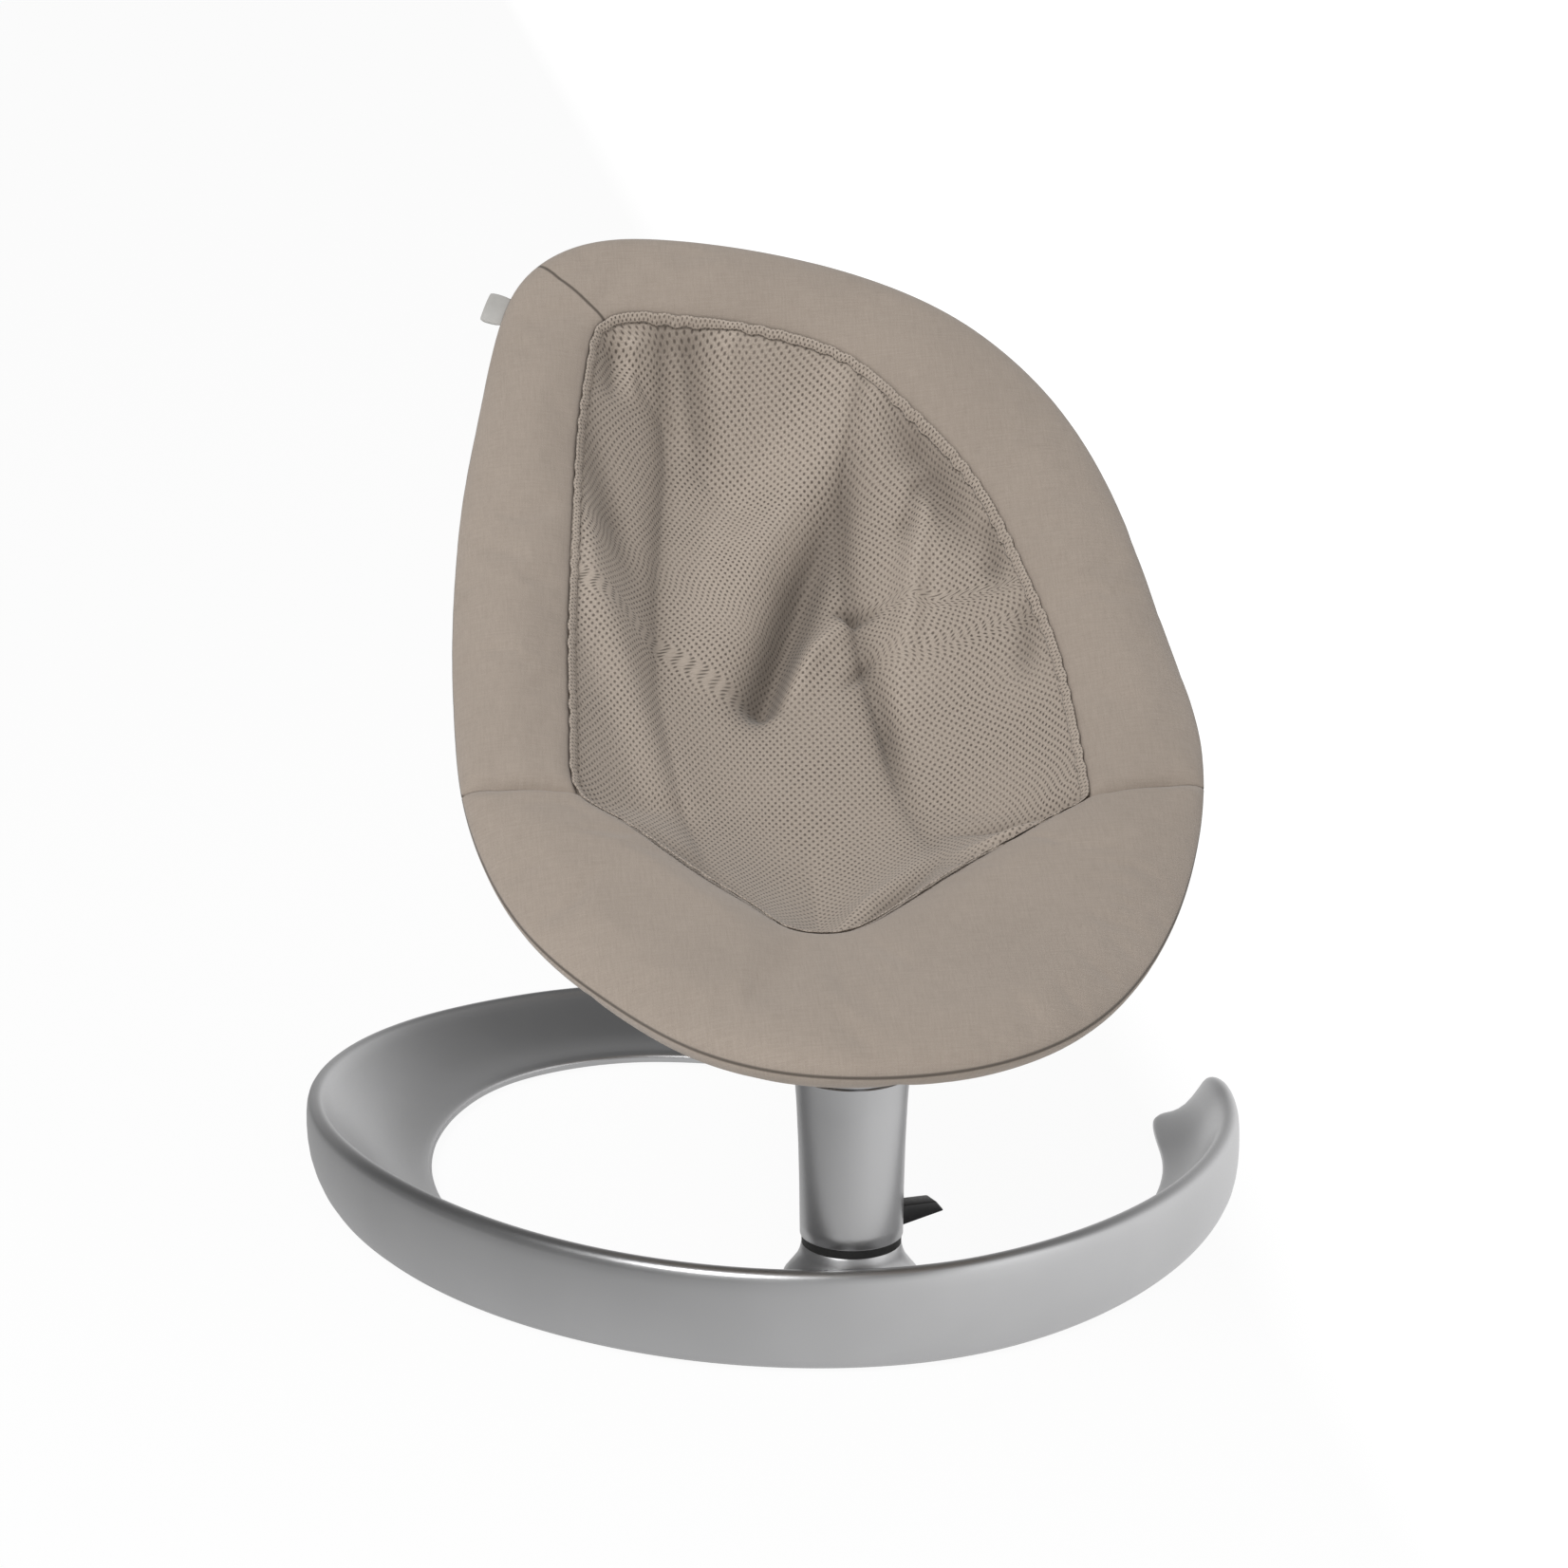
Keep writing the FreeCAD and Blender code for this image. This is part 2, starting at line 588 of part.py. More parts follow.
def hoop_place(side):
    """Centre of the hoop tube where a side strut meets it."""
    best = None
    for point in flat_points(leaf, 400, size("hoop_inset")):
        miss = abs(point.y - size("strut_along"))
        if point.x * side > 0 and (best is None or miss < best[0]):
            best = (miss, point)
    return seat_point(best[1].x, best[1].y, size("pad_thick") / 2)


def strut_lines():
    """Start and end of each strut, from the carrier to the hoop."""
    root = evaluate("plate_low") - 2.0
    foot = seat_point(0, size("hoop_inset"), size("pad_thick") / 2)
    knee = Vec(0, foot.y + 3, foot.z - 26)
    lines = {"front": [Vec(0, -20, root), knee, foot]}
    for name, side in (("left", -1), ("right", 1)):
        end = hoop_place(side)
        knee = Vec(0.58 * end.x, end.y - 47, end.z - 84)
        lines[name] = [Vec(side * 26, 52, root + 8), knee, end]
    return lines


def strut_solid(name, points, radius):
    bars = [rod("%s_bar_%d" % (name, index), radius, points[index], points[index + 1])
            for index in range(len(points) - 1)]
    knee = doc.addObject("Part::Sphere", name + "_knee")
    knee.setExpression("Radius", link(radius))
    knee.Placement = FreeCAD.Placement(points[1], Rot())
    return fuse(name + "_rough", bars + [knee])


def build_seat():
    upper, lower = hoop_halves("hoop", size("hoop_radius"))
    keep(upper, "upper_hoop")
    keep(lower, "lower_hoop")
    lines = strut_lines()
    for name, points in lines.items():
        keep(cut(name + "_strut_cut", strut_solid(name, points, "strut_radius"),
                 hoop_halves(name + "_hoop_seat", size("hoop_radius"))), name + "_strut")
    clearance = [strut_solid(name + "_clear", points, "strut_radius + soft_gap") for name, points in lines.items()]
    channel = hoop_halves("hoop_channel", size("hoop_radius") + size("soft_gap"))
    outer = pitched_prism("leaf_prism", flat_points(leaf, 40))
    inner = pitched_prism("opening_prism", flat_points(opening, 36))
    blank = common("pad_blank", seat_slab(), outer)
    pad = cut("pad_whole", blank, [inner] + channel + clearance)
    seam = seat_point(0, size("side_seam"))
    reach = size("seat_width")
    rear = doc.addObject("Part::Box", "rear_zone")
    rear.Length, rear.Width, rear.Height = 2 * reach, 2 * reach, 4 * reach
    rear.Placement = FreeCAD.Placement(Vec(-reach, seam.y + size("soft_gap") / 2, 0), Rot())
    front = doc.addObject("Part::Box", "front_zone")
    front.Length, front.Width, front.Height = 2 * reach, 2 * reach, 4 * reach
    front.Placement = FreeCAD.Placement(Vec(-reach, seam.y - size("soft_gap") / 2 - 2 * reach, 0), Rot())
    rim = keep(common("pad_rear", pad, rear), "rim_pad")
    keep(common("pad_front", pad, front), "foot_panel")
    cloth = pitched_prism("sling_prism", flat_points(opening, 36, size("soft_gap")))
    keep(common("sling", sling_sheet(), cloth), "mesh_sling")
    build_tag(rim)


def build_tag(rim):
    """Small folded label that stands out from the left edge, left bare."""
    edge = min(flat_points(leaf, 400), key=lambda p: abs(p.y - size("tag_along")) + (0 if p.x < 0 else 1000))
    corner = seat_point(edge.x, edge.y, size("pad_thick") / 2)
    tag = doc.addObject("Part::Box", "tag_box")
    tag.setExpression("Length", link("tag_length"))
    tag.setExpression("Width", link("tag_width"))
    tag.setExpression("Height", link("tag_thick"))
    turn = Rot(Vec(1, 0, 0), 45)
    tag.Placement = FreeCAD.Placement(corner + Vec(-size("tag_length") - 1.8, 0, 0) - turn.multVec(
        Vec(0, size("tag_width") / 2, size("tag_thick") / 2)), turn)
    keep(cut("tag_cut", tag, [rim]), "side_tag")


# Carrier and recline joint

def build_carrier():
    plate = block("plate", "plate_width", "plate_back - plate_front", "plate_thick",
                  ("-plate_width / 2", "plate_front", "plate_low"))
    web = block("lug_web", "2 * lug_half", "2 * ear_radius - 4", "plate_low - recline_z + 1",
                ("-lug_half", "recline_y - ear_radius + 2", "recline_z"))
    lug = cylinder("lug", "ear_radius", "2 * lug_half", ("-lug_half", "recline_y", "recline_z"), ALONG_X)
    bosses = []
    bores = [cylinder("lug_bore", "bolt_radius + running_gap", "120", ("-60", "recline_y", "recline_z"), ALONG_X)]
    screws = []
    for name, points in strut_lines().items():
        run = points[1] - points[0]
        run.normalize()
        bosses.append(rod(name + "_boss", "socket_radius", points[0] - run * 5, points[0] + run * size("socket_length")))
        bores.append(rod(name + "_socket", "strut_radius", points[0], points[0] + run * (size("socket_length") + 60)))
        side = Vec(0, run.z, -run.y) if name == "front" else Vec(0, 0, -1)
        side = side - run * side.dot(run)
        side.normalize()
        if side.z > 0:
            side = side * -1
        middle = points[0] + run * (0.6 * size("socket_length"))
        inside = middle + side * size("strut_radius")
        outside = middle + side * size("socket_radius")
        bores.append(rod(name + "_screw_bore", "screw_radius", inside - side * 0.5, outside + side))
        shank = rod(name + "_screw_shank", "screw_radius", inside + side * 0.05, outside + side * 0.5)
        cap = rod(name + "_screw_cap", "screw_head", outside + side * 0.3,
                  outside + side * (0.3 + size("screw_head_height")))
        screws.append(fuse(name + "_screw", [shank, cap]))
    keep(cut("carrier_cut", fuse("carrier_rough", [plate, web, lug] + bosses), bores), "seat_carrier")
    keep(group("screws", screws), "socket_screws")

    half = "(lug_half + recline_washer + ear_thick)"
    shaft = cylinder("bolt_shaft", "bolt_radius", "2 * %s + 2 * head_thick" % half, ("-" + half, "recline_y", "recline_z"),
                     ALONG_X)
    head = cylinder("bolt_cap", "bolt_head", "head_thick", ("-%s - head_thick" % half, "recline_y", "recline_z"), ALONG_X)
    keep(fuse("bolt", [shaft, head]), "recline_bolt")
    nut_blank = cylinder("recline_nut_blank", "bolt_head", "head_thick", (half, "recline_y", "recline_z"), ALONG_X)
    nut_bore = cylinder("recline_nut_bore", "bolt_radius", "head_thick", (half, "recline_y", "recline_z"), ALONG_X)
    keep(cut("recline_nut_cut", nut_blank, [nut_bore]), "recline_nut")
    washers = []
    for index, start in enumerate(("-(lug_half + recline_washer)", "lug_half + running_gap")):
        disc = cylinder("washer_disc_%d" % index, "ear_radius - 1", "recline_washer - running_gap",
                        (start, "recline_y", "recline_z"), ALONG_X)
        hole = cylinder("washer_hole_%d" % index, "bolt_radius + running_gap", "recline_washer - running_gap",
                        (start, "recline_y", "recline_z"), ALONG_X)
        washers.append(cut("recline_washer_%d" % index, disc, [hole]))
    keep(group("recline_washers_set", washers), "recline_washers")


def check_and_write():
    """Stop on any failed object, then write one file for each sub-part."""
    doc.recompute()
    for obj in doc.Objects:
        if "Invalid" in obj.State or "Error" in obj.State:
            raise RuntimeError("%s failed: %s" % (obj.Name, obj.State))
    for obj in parts:
        shape = obj.Shape
        if shape.isNull() or not shape.isValid() or shape.Volume <= 0:
            raise RuntimeError("%s has no sound shape" % obj.Label)
        print("%-20s %2d solid(s) %12.1f mm3" % (obj.Label, len(shape.Solids), shape.Volume))
    os.makedirs("parts", exist_ok=True)
    for obj in parts:
        obj.Shape.exportStep("parts/%s.step" % obj.Label)


build_base()
build_spindle()
build_column()
build_lock()
build_seat()
build_carrier()
check_and_write()
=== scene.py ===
import math
import bpy
import numpy as np
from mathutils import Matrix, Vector


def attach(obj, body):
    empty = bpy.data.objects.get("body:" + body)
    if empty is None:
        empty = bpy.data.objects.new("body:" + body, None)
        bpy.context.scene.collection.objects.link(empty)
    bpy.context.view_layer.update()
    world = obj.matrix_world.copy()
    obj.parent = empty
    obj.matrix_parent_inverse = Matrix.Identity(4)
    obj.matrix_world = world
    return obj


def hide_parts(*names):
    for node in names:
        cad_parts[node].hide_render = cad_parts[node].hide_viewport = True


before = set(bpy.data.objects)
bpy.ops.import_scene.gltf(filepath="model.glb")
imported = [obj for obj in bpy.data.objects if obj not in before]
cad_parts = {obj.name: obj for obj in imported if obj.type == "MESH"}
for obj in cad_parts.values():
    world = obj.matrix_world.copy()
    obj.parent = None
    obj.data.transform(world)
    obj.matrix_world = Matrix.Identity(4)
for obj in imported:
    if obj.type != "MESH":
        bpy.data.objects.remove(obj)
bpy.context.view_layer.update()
bpy.ops.object.select_all(action="DESELECT")
scene = bpy.context.scene


# small helpers for every piece

def newMaterial(name):
    material = bpy.data.materials.new(name)
    material.use_nodes = True
    tree = material.node_tree
    surface = tree.nodes["Principled BSDF"]
    return material, tree, surface


def addNode(tree, kind, inputs=None, **settings):
    node = tree.nodes.new(kind)
    for key, value in settings.items():
        setattr(node, key, value)
    for socket, value in (inputs or {}).items():
        if isinstance(value, bpy.types.NodeSocket):
            tree.links.new(value, node.inputs[socket])
        else:
            node.inputs[socket].default_value = value
    return node


def mathNode(tree, operation, first, second=0.0, third=0.0, clamp=False):
    node = addNode(tree, "ShaderNodeMath", {0: first, 1: second, 2: third}, operation=operation, use_clamp=clamp)
    return node.outputs[0]


def mixColours(tree, amount, first, second, blend="MIX"):
    node = addNode(tree, "ShaderNodeMix", {0: amount}, data_type="RGBA", blend_type=blend)
    for socket, value in ((6, first), (7, second)):
        if isinstance(value, bpy.types.NodeSocket):
            tree.links.new(value, node.inputs[socket])
        else:
            node.inputs[socket].default_value = (*value, 1.0)
    return node.outputs[2]


def spread(tree, value, low, high, newLow, newHigh):
    node = addNode(tree, "ShaderNodeMapRange", {0: value, 1: low, 2: high, 3: newLow, 4: newHigh})
    return node.outputs[0]


def noiseOn(tree, where, scale, detail=2.0, rough=0.5, stretch=(1.0, 1.0, 1.0)):
    mapping = addNode(tree, "ShaderNodeMapping", {"Vector": where, "Scale": stretch})
    noise = addNode(tree, "ShaderNodeTexNoise",
                    {"Vector": mapping.outputs[0], "Scale": scale, "Detail": detail, "Roughness": rough})
    return noise.outputs[0]


def link(tree, output, node, socket):
    tree.links.new(output, node.inputs[socket])


# finishes

def satinAluminium(name, tone, roughness):
    material, tree, surface = newMaterial(name)
    where = addNode(tree, "ShaderNodeTexCoord").outputs["Object"]
    cloud = noiseOn(tree, where, 9.0, 3.0)
    grain = noiseOn(tree, where, 1400.0, 2.0)
    dark = tuple(0.93 * part for part in tone)
    light = tuple(min(1.0, 1.04 * part) for part in tone)
    link(tree, mixColours(tree, spread(tree, cloud, 0.3, 0.7, 0.0, 1.0), dark, light), surface, "Base Color")
    mixedRough = mathNode(tree, "ADD", spread(tree, cloud, 0.3, 0.7, roughness - 0.03, roughness + 0.03),
                          spread(tree, grain, 0.3, 0.7, -0.04, 0.04))
    link(tree, mixedRough, surface, "Roughness")
    surface.inputs["Metallic"].default_value = 1.0
    bump = addNode(tree, "ShaderNodeBump", {"Strength": 0.12, "Distance": 0.0002, "Height": grain})
    link(tree, bump.outputs[0], surface, "Normal")
    return material


def brightSteel(name):
    material, tree, surface = newMaterial(name)
    where = addNode(tree, "ShaderNodeTexCoord").outputs["Object"]
    turning = noiseOn(tree, where, 60.0, 3.0, 0.6, (1.0, 1.0, 30.0))
    link(tree, mixColours(tree, spread(tree, turning, 0.3, 0.7, 0.0, 1.0), (0.56, 0.56, 0.57), (0.72, 0.72, 0.73)),
         surface, "Base Color")
    link(tree, spread(tree, turning, 0.3, 0.7, 0.2, 0.34), surface, "Roughness")
    surface.inputs["Metallic"].default_value = 1.0
    bump = addNode(tree, "ShaderNodeBump", {"Strength": 0.1, "Distance": 0.0002, "Height": turning})
    link(tree, bump.outputs[0], surface, "Normal")
    return material


def moulded(name, dark, light, roughness, grainScale, grainDepth):
    material, tree, surface = newMaterial(name)
    where = addNode(tree, "ShaderNodeTexCoord").outputs["Object"]
    cloud = noiseOn(tree, where, 40.0, 3.0)
    grain = noiseOn(tree, where, grainScale, 3.0)
    link(tree, mixColours(tree, spread(tree, cloud, 0.3, 0.7, 0.0, 1.0), dark, light), surface, "Base Color")
    link(tree, spread(tree, grain, 0.3, 0.7, roughness - 0.08, roughness + 0.08), surface, "Roughness")
    bump = addNode(tree, "ShaderNodeBump", {"Strength": 0.3, "Distance": grainDepth, "Height": grain})
    link(tree, bump.outputs[0], surface, "Normal")
    return material


# seam: colour of the painted groove shade along the seams
weave = {"thread": 0.0011, "light": (0.418, 0.354, 0.300), "dark": (0.300, 0.250, 0.208), "seam": (0.075, 0.062, 0.050),
         "seamWidth": 0.0009}


def melangeCloth(name):
    material, tree, surface = newMaterial(name)
    flatMap = addNode(tree, "ShaderNodeUVMap", uv_map="flat").outputs[0]
    parts = addNode(tree, "ShaderNodeSeparateXYZ", {0: flatMap})
    turn = 2 * math.pi / weave["thread"]
    weft = mathNode(tree, "SINE", mathNode(tree, "MULTIPLY", parts.outputs[0], turn))
    warp = mathNode(tree, "SINE", mathNode(tree, "MULTIPLY", parts.outputs[1], turn))
    crossed = mathNode(tree, "MULTIPLY", weft, warp)
    slubAcross = noiseOn(tree, flatMap, 1.0, 3.0, 0.6, (70.0, 900.0, 1.0))
    slubAlong = noiseOn(tree, flatMap, 1.0, 3.0, 0.6, (900.0, 70.0, 1.0))
    fleck = noiseOn(tree, flatMap, 1500.0, 2.0, 0.7)
    cloud = noiseOn(tree, flatMap, 14.0, 3.0)
    yarn = mathNode(tree, "ADD", mathNode(tree, "MULTIPLY", slubAcross, 0.5),
                    mathNode(tree, "MULTIPLY", slubAlong, 0.5))
    yarn = mathNode(tree, "ADD", mathNode(tree, "MULTIPLY", yarn, 0.55), mathNode(tree, "MULTIPLY", fleck, 0.45))
    colour = mixColours(tree, spread(tree, yarn, 0.31, 0.69, 0.0, 1.0), weave["dark"], weave["light"])
    shade = spread(tree, cloud, 0.3, 0.7, 0.965, 1.03)
    colour = mixColours(tree, 1.0, colour,
                        addNode(tree, "ShaderNodeCombineColor", {0: shade, 1: shade, 2: shade}).outputs[0], "MULTIPLY")
    # painted groove shade: the cloth is darkened towards the seam colour along each seam line; the same mask also sinks
    # the bump into a groove
    run = addNode(tree, "ShaderNodeAttribute", attribute_name="seamRun").outputs["Fac"]
    seamGrooveAndShade = spread(tree, run, weave["seamWidth"] * 0.5, weave["seamWidth"] * 1.6, 1.0, 0.0)
    colour = mixColours(tree, mathNode(tree, "MULTIPLY", seamGrooveAndShade, 0.85), colour, weave["seam"])
    link(tree, colour, surface, "Base Color")
    surface.inputs["Roughness"].default_value = 0.92
    surface.inputs["Sheen Weight"].default_value = 0.25
    surface.inputs["Sheen Roughness"].default_value = 0.5
    surface.inputs["Specular IOR Level"].default_value = 0.2
    height = mathNode(tree, "ADD", mathNode(tree, "MULTIPLY", crossed, 0.25), mathNode(tree, "MULTIPLY", yarn, 1.6))
    height = mathNode(tree, "SUBTRACT", height, mathNode(tree, "MULTIPLY", seamGrooveAndShade, 1.5))
    bump = addNode(tree, "ShaderNodeBump", {"Strength": 0.5, "Distance": 0.00035, "Height": height})
    link(tree, bump.outputs[0], surface, "Normal")
    return material


airMesh = {"cell": 0.0034, "thread": (0.500, 0.430, 0.365), "shade": (0.370, 0.312, 0.262),
           "hole": (0.075, 0.060, 0.048), "foldShade": 0.55}


def airMeshCloth(name, cell=airMesh["cell"]):
    material, tree, surface = newMaterial(name)
    flatMap = addNode(tree, "ShaderNodeUVMap", uv_map="flat").outputs[0]
    turned = addNode(tree, "ShaderNodeMapping",
                     {"Vector": flatMap, "Rotation": (0.0, 0.0, math.radians(45)), "Scale": (1.0, 0.86, 1.0)})
    cells = addNode(tree, "ShaderNodeTexVoronoi",
                    {"Vector": turned.outputs[0], "Scale": 1.0 / cell, "Randomness": 0.06}, voronoi_dimensions="2D")
    hole = spread(tree, cells.outputs["Distance"], 0.13, 0.33, 1.0, 0.0)
    cloud = noiseOn(tree, flatMap, 22.0, 3.0)
    fleck = noiseOn(tree, flatMap, 900.0, 2.0)
    yarn = mixColours(tree, spread(tree, fleck, 0.3, 0.7, 0.0, 1.0), airMesh["shade"], airMesh["thread"])
    depth = mathNode(tree, "MULTIPLY", hole, spread(tree, cloud, 0.3, 0.7, 0.55, 0.95))
    colour = mixColours(tree, depth, yarn, airMesh["hole"])
    # painted shade in the folds: this mask darkens the mesh colour towards the hole colour where the fold relief is
    # deep
    paintedFoldShade = addNode(tree, "ShaderNodeAttribute", attribute_name="paintedFoldShade").outputs["Fac"]  # 1 down in the folds
    link(tree, mixColours(tree, mathNode(tree, "MULTIPLY", paintedFoldShade, airMesh["foldShade"]), colour, airMesh["hole"]),
         surface, "Base Color")
    surface.inputs["Roughness"].default_value = 0.8
    surface.inputs["Sheen Weight"].default_value = 0.2
    surface.inputs["Specular IOR Level"].default_value = 0.25
    height = mathNode(tree, "SUBTRACT", mathNode(tree, "MULTIPLY", fleck, 0.2), hole)
    bump = addNode(tree, "ShaderNodeBump", {"Strength": 0.6, "Distance": 0.0006, "Height": height})
    link(tree, bump.outputs[0], surface, "Normal")
    return material


aluminium = satinAluminium("satinAluminium", (0.50, 0.50, 0.505), 0.36)
tubeAluminium = satinAluminium("tubeAluminium", (0.50, 0.50, 0.505), 0.30)
steel = brightSteel("brightSteel")
blackPlastic = moulded("blackPlastic", (0.010, 0.010, 0.011), (0.018, 0.018, 0.019), 0.42, 900.0, 0.0002)
blackRubber = moulded("blackRubber", (0.012, 0.012, 0.012), (0.022, 0.022, 0.021), 0.65, 500.0, 0.0003)
paleWasher = moulded("paleWasher", (0.62, 0.61, 0.58), (0.70, 0.69, 0.66), 0.5, 700.0, 0.0002)
labelCloth = moulded("labelCloth", (0.40, 0.39, 0.37), (0.52, 0.51, 0.49), 0.85, 1600.0, 0.0003)
padCloth = melangeCloth("padCloth")
slingCloth = airMeshCloth("slingCloth")
hemCloth = airMeshCloth("hemCloth", 0.0017)
finishes = {
    "satin_aluminium": aluminium, "tube_aluminium": tubeAluminium, "bright_steel": steel,
    "black_plastic": blackPlastic, "black_rubber": blackRubber, "washer_plastic": paleWasher,
    "taupe_cloth": padCloth, "taupe_mesh": slingCloth, "grey_label": labelCloth,
}
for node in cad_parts.values():
    for place in node.material_slots:
        place.material = finishes[place.material.name.split(".")[0]]
print("finishes made")


# the seat's flat pattern and its side curve

seatShape = {
    "sideStep": 0.06,  # the side curve's points are this far apart along the seat
    "side": [(-0.144, 0.2035), (-0.0859, 0.2184), (-0.0281, 0.2345), (0.0281, 0.2554), (0.0818, 0.2821),
             (0.1331, 0.3133), (0.182, 0.348), (0.2287, 0.3856), (0.2737, 0.4254), (0.3173, 0.4666),
             (0.3598, 0.5089), (0.4013, 0.5522), (0.4421, 0.5962), (0.4826, 0.6405)],
    "leaf": [(0.0, 0.0145), (0.054, 0.0215), (0.103, 0.047), (0.154, 0.108), (0.1925, 0.188), (0.2115, 0.255),
             (0.2160, 0.300),
             (0.2130, 0.340), (0.2058, 0.390), (0.1960, 0.452), (0.1765, 0.518), (0.1465, 0.571), (0.1038,
                                                                                                   0.614), (0.0482,
                                                                                                            0.6445),
             (-0.009, 0.6625), (-0.067, 0.6720), (-0.118, 0.6695), (-0.151, 0.650), (-0.176, 0.594), (-0.188, 0.537),
             (-0.1975, 0.486), (-0.204, 0.431), (-0.2075, 0.376), (-0.208, 0.320), (-0.2055, 0.266), (-0.1955, 0.213),
             (-0.1745, 0.156), (-0.133, 0.091), (-0.088, 0.042), (-0.043, 0.020)],
    "opening": [(-0.019, 0.141), (-0.005, 0.142), (0.017, 0.155), (0.057, 0.188), (0.103, 0.220), (0.132, 0.2385),
                (0.1420, 0.2460), (0.1445, 0.2600), (0.1445, 0.290), (0.144, 0.320), (0.140, 0.370), (0.129, 0.420),
                (0.115, 0.470), (0.094, 0.513), (0.068, 0.549), (0.042, 0.578), (0.003, 0.598), (-0.037, 0.608),
                (-0.071, 0.613), (-0.098, 0.6135), (-0.110, 0.607), (-0.118, 0.586), (-0.126, 0.539), (-0.134, 0.455),
                (-0.141, 0.358), (-0.1430, 0.301), (-0.1435, 0.275), (-0.1400, 0.2600), (-0.121, 0.241), (-0.096,
                                                                                                          0.215),
                (-0.068, 0.184), (-0.049, 0.163), (-0.034, 0.146)],
    "slingEdge": 0.0065, "slingDepth": 0.060, "slingReach": 0.115,
}


def smoothThrough(points, count, loop):
    way = np.array(points, float)
    if loop:
        way = np.vstack([way, way[:1]])
    at = np.concatenate([[0], np.cumsum(np.linalg.norm(np.diff(way, axis=0), axis=1))])
    gap = np.diff(at)
    size = len(at)
    bend = np.zeros((size, size))
    pull = np.zeros(way.shape)
    for i in range(1, size - 1):
        bend[i, i - 1:i + 2] = gap[i - 1], 2 * (gap[i - 1] + gap[i]), gap[i]
        pull[i] = 6 * ((way[i + 1] - way[i]) / gap[i] - (way[i] - way[i - 1]) / gap[i - 1])
    if loop:
        bend[0, 0], bend[0, 1], bend[0, size - 2] = 2 * (gap[-1] + gap[0]), gap[0], gap[-1]
        pull[0] = 6 * ((way[1] - way[0]) / gap[0] - (way[-1] - way[-2]) / gap[-1])
        bend[-1, 0], bend[-1, -1] = 1, -1
    else:
        bend[0, 0] = bend[-1, -1] = 1
    curl = np.linalg.solve(bend, pull)
    fine = []
    for i in range(size - 1):
        for share in np.arange(40) / 40:
            ahead, back = share * gap[i], (1 - share) * gap[i]
            fine.append((curl[i] * back ** 3 + curl[i + 1] * ahead ** 3) / (6 * gap[i])
                        + (way[i] / gap[i] - curl[i] * gap[i] / 6) * back + (way[i + 1] / gap[i] - curl[i + 1]
                                                                             * gap[i] / 6) * ahead)
    fine = np.array(fine + [way[-1]])
    run = np.concatenate([[0], np.cumsum(np.linalg.norm(np.diff(fine, axis=0), axis=1))])
    wanted = np.linspace(0, run[-1], count + 1)[:-1] if loop else np.linspace(0, run[-1], count)
    return np.stack([np.interp(wanted, run, fine[:, k]) for k in range(fine.shape[1])], 1)


sideCurve = smoothThrough(seatShape["side"], 1561, False)
sideRun = np.linspace(0, seatShape["sideStep"] * (len(seatShape["side"]) - 1), 1561)
sideTangent = np.gradient(sideCurve, axis=0)
sideTangent /= np.linalg.norm(sideTangent, axis=1)[:, None]


def onSeat(flat, depth):  # flat: across and along; depth: square to the seat, downwards
    flat = np.asarray(flat, float)
    along = flat[..., 1]
    beyond = np.minimum(along, 0.0)
    turnY = np.interp(along, sideRun, sideTangent[:, 0])
    turnZ = np.interp(along, sideRun, sideTangent[:, 1])
    y = np.interp(along, sideRun, sideCurve[:, 0]) + turnZ * depth + turnY * beyond
    z = np.interp(along, sideRun, sideCurve[:, 1]) - turnY * depth + turnZ * beyond
    return np.stack([flat[..., 0], y, z], -1)


outlineSteps = 1440
leaf = smoothThrough(seatShape["leaf"], outlineSteps, True)
opening = smoothThrough(seatShape["opening"], outlineSteps, True)


def nearest(outline, spot):
    return int(np.argmin(np.linalg.norm(outline - np.array(spot), axis=1)))


def between(outline, first, last, share):
    steps = (last - first) % outlineSteps
    at = (first + share * steps) % outlineSteps
    low = np.floor(at).astype(int)
    part = (at - low)[..., None]
    return outline[low % outlineSteps] * (1 - part) + outline[(low + 1) % outlineSteps] * part


def foldRelief(flat, folds):  # each fold: its line, width, heights at start, middle and end, and how rounded it is
    total = np.zeros(flat.shape[:-1])
    for line, width, heights, roundness in folds:
        line = np.array(line, float)
        lengths = np.linalg.norm(np.diff(line, axis=0), axis=1)
        nearestGap = np.full(total.shape, 1.0)
        place = np.zeros(total.shape)
        for k, length in enumerate(lengths):
            way = line[k + 1] - line[k]
            share = np.clip(((flat - line[k]) @ way) / (way @ way), 0, 1)
            gap = np.linalg.norm(flat - line[k] - share[..., None] * way, axis=-1)
            closer = gap < nearestGap
            place = np.where(closer, (lengths[:k].sum() + share * length) / lengths.sum(), place)
            nearestGap = np.minimum(gap, nearestGap)
        total += np.interp(place, (0, 0.5, 1), heights) * np.exp(-(nearestGap / width) ** roundness)
    return total


def meshPiece(name, points, faces, corners, material):
    data = bpy.data.meshes.new(name)
    data.from_pydata(points.tolist(), [], faces)
    layer = data.uv_layers.new(name="flat")
    layer.data.foreach_set("uv", np.asarray(corners, np.float32).ravel())
    piece = bpy.data.objects.new(name, data)
    scene.collection.objects.link(piece)
    data.materials.append(material)
    for face in data.polygons:
        face.use_smooth = True
    return piece


def useModifier(piece, kind, name, **settings):
    bpy.context.view_layer.objects.active = piece
    piece.select_set(True)
    modifier = piece.modifiers.new(name, kind)
    for key, value in settings.items():
        setattr(modifier, key, value)
    bpy.ops.object.modifier_apply(modifier=name)
    piece.select_set(False)


def pointsOf(piece):
    places = np.empty(len(piece.data.vertices) * 3)
    piece.data.vertices.foreach_get("co", places)
    return places.reshape(-1, 3)


swell = {"frames": 20, "quality": 5, "mass": 0.25, "stretch": 14, "shear": 6, "bending": 2.0}


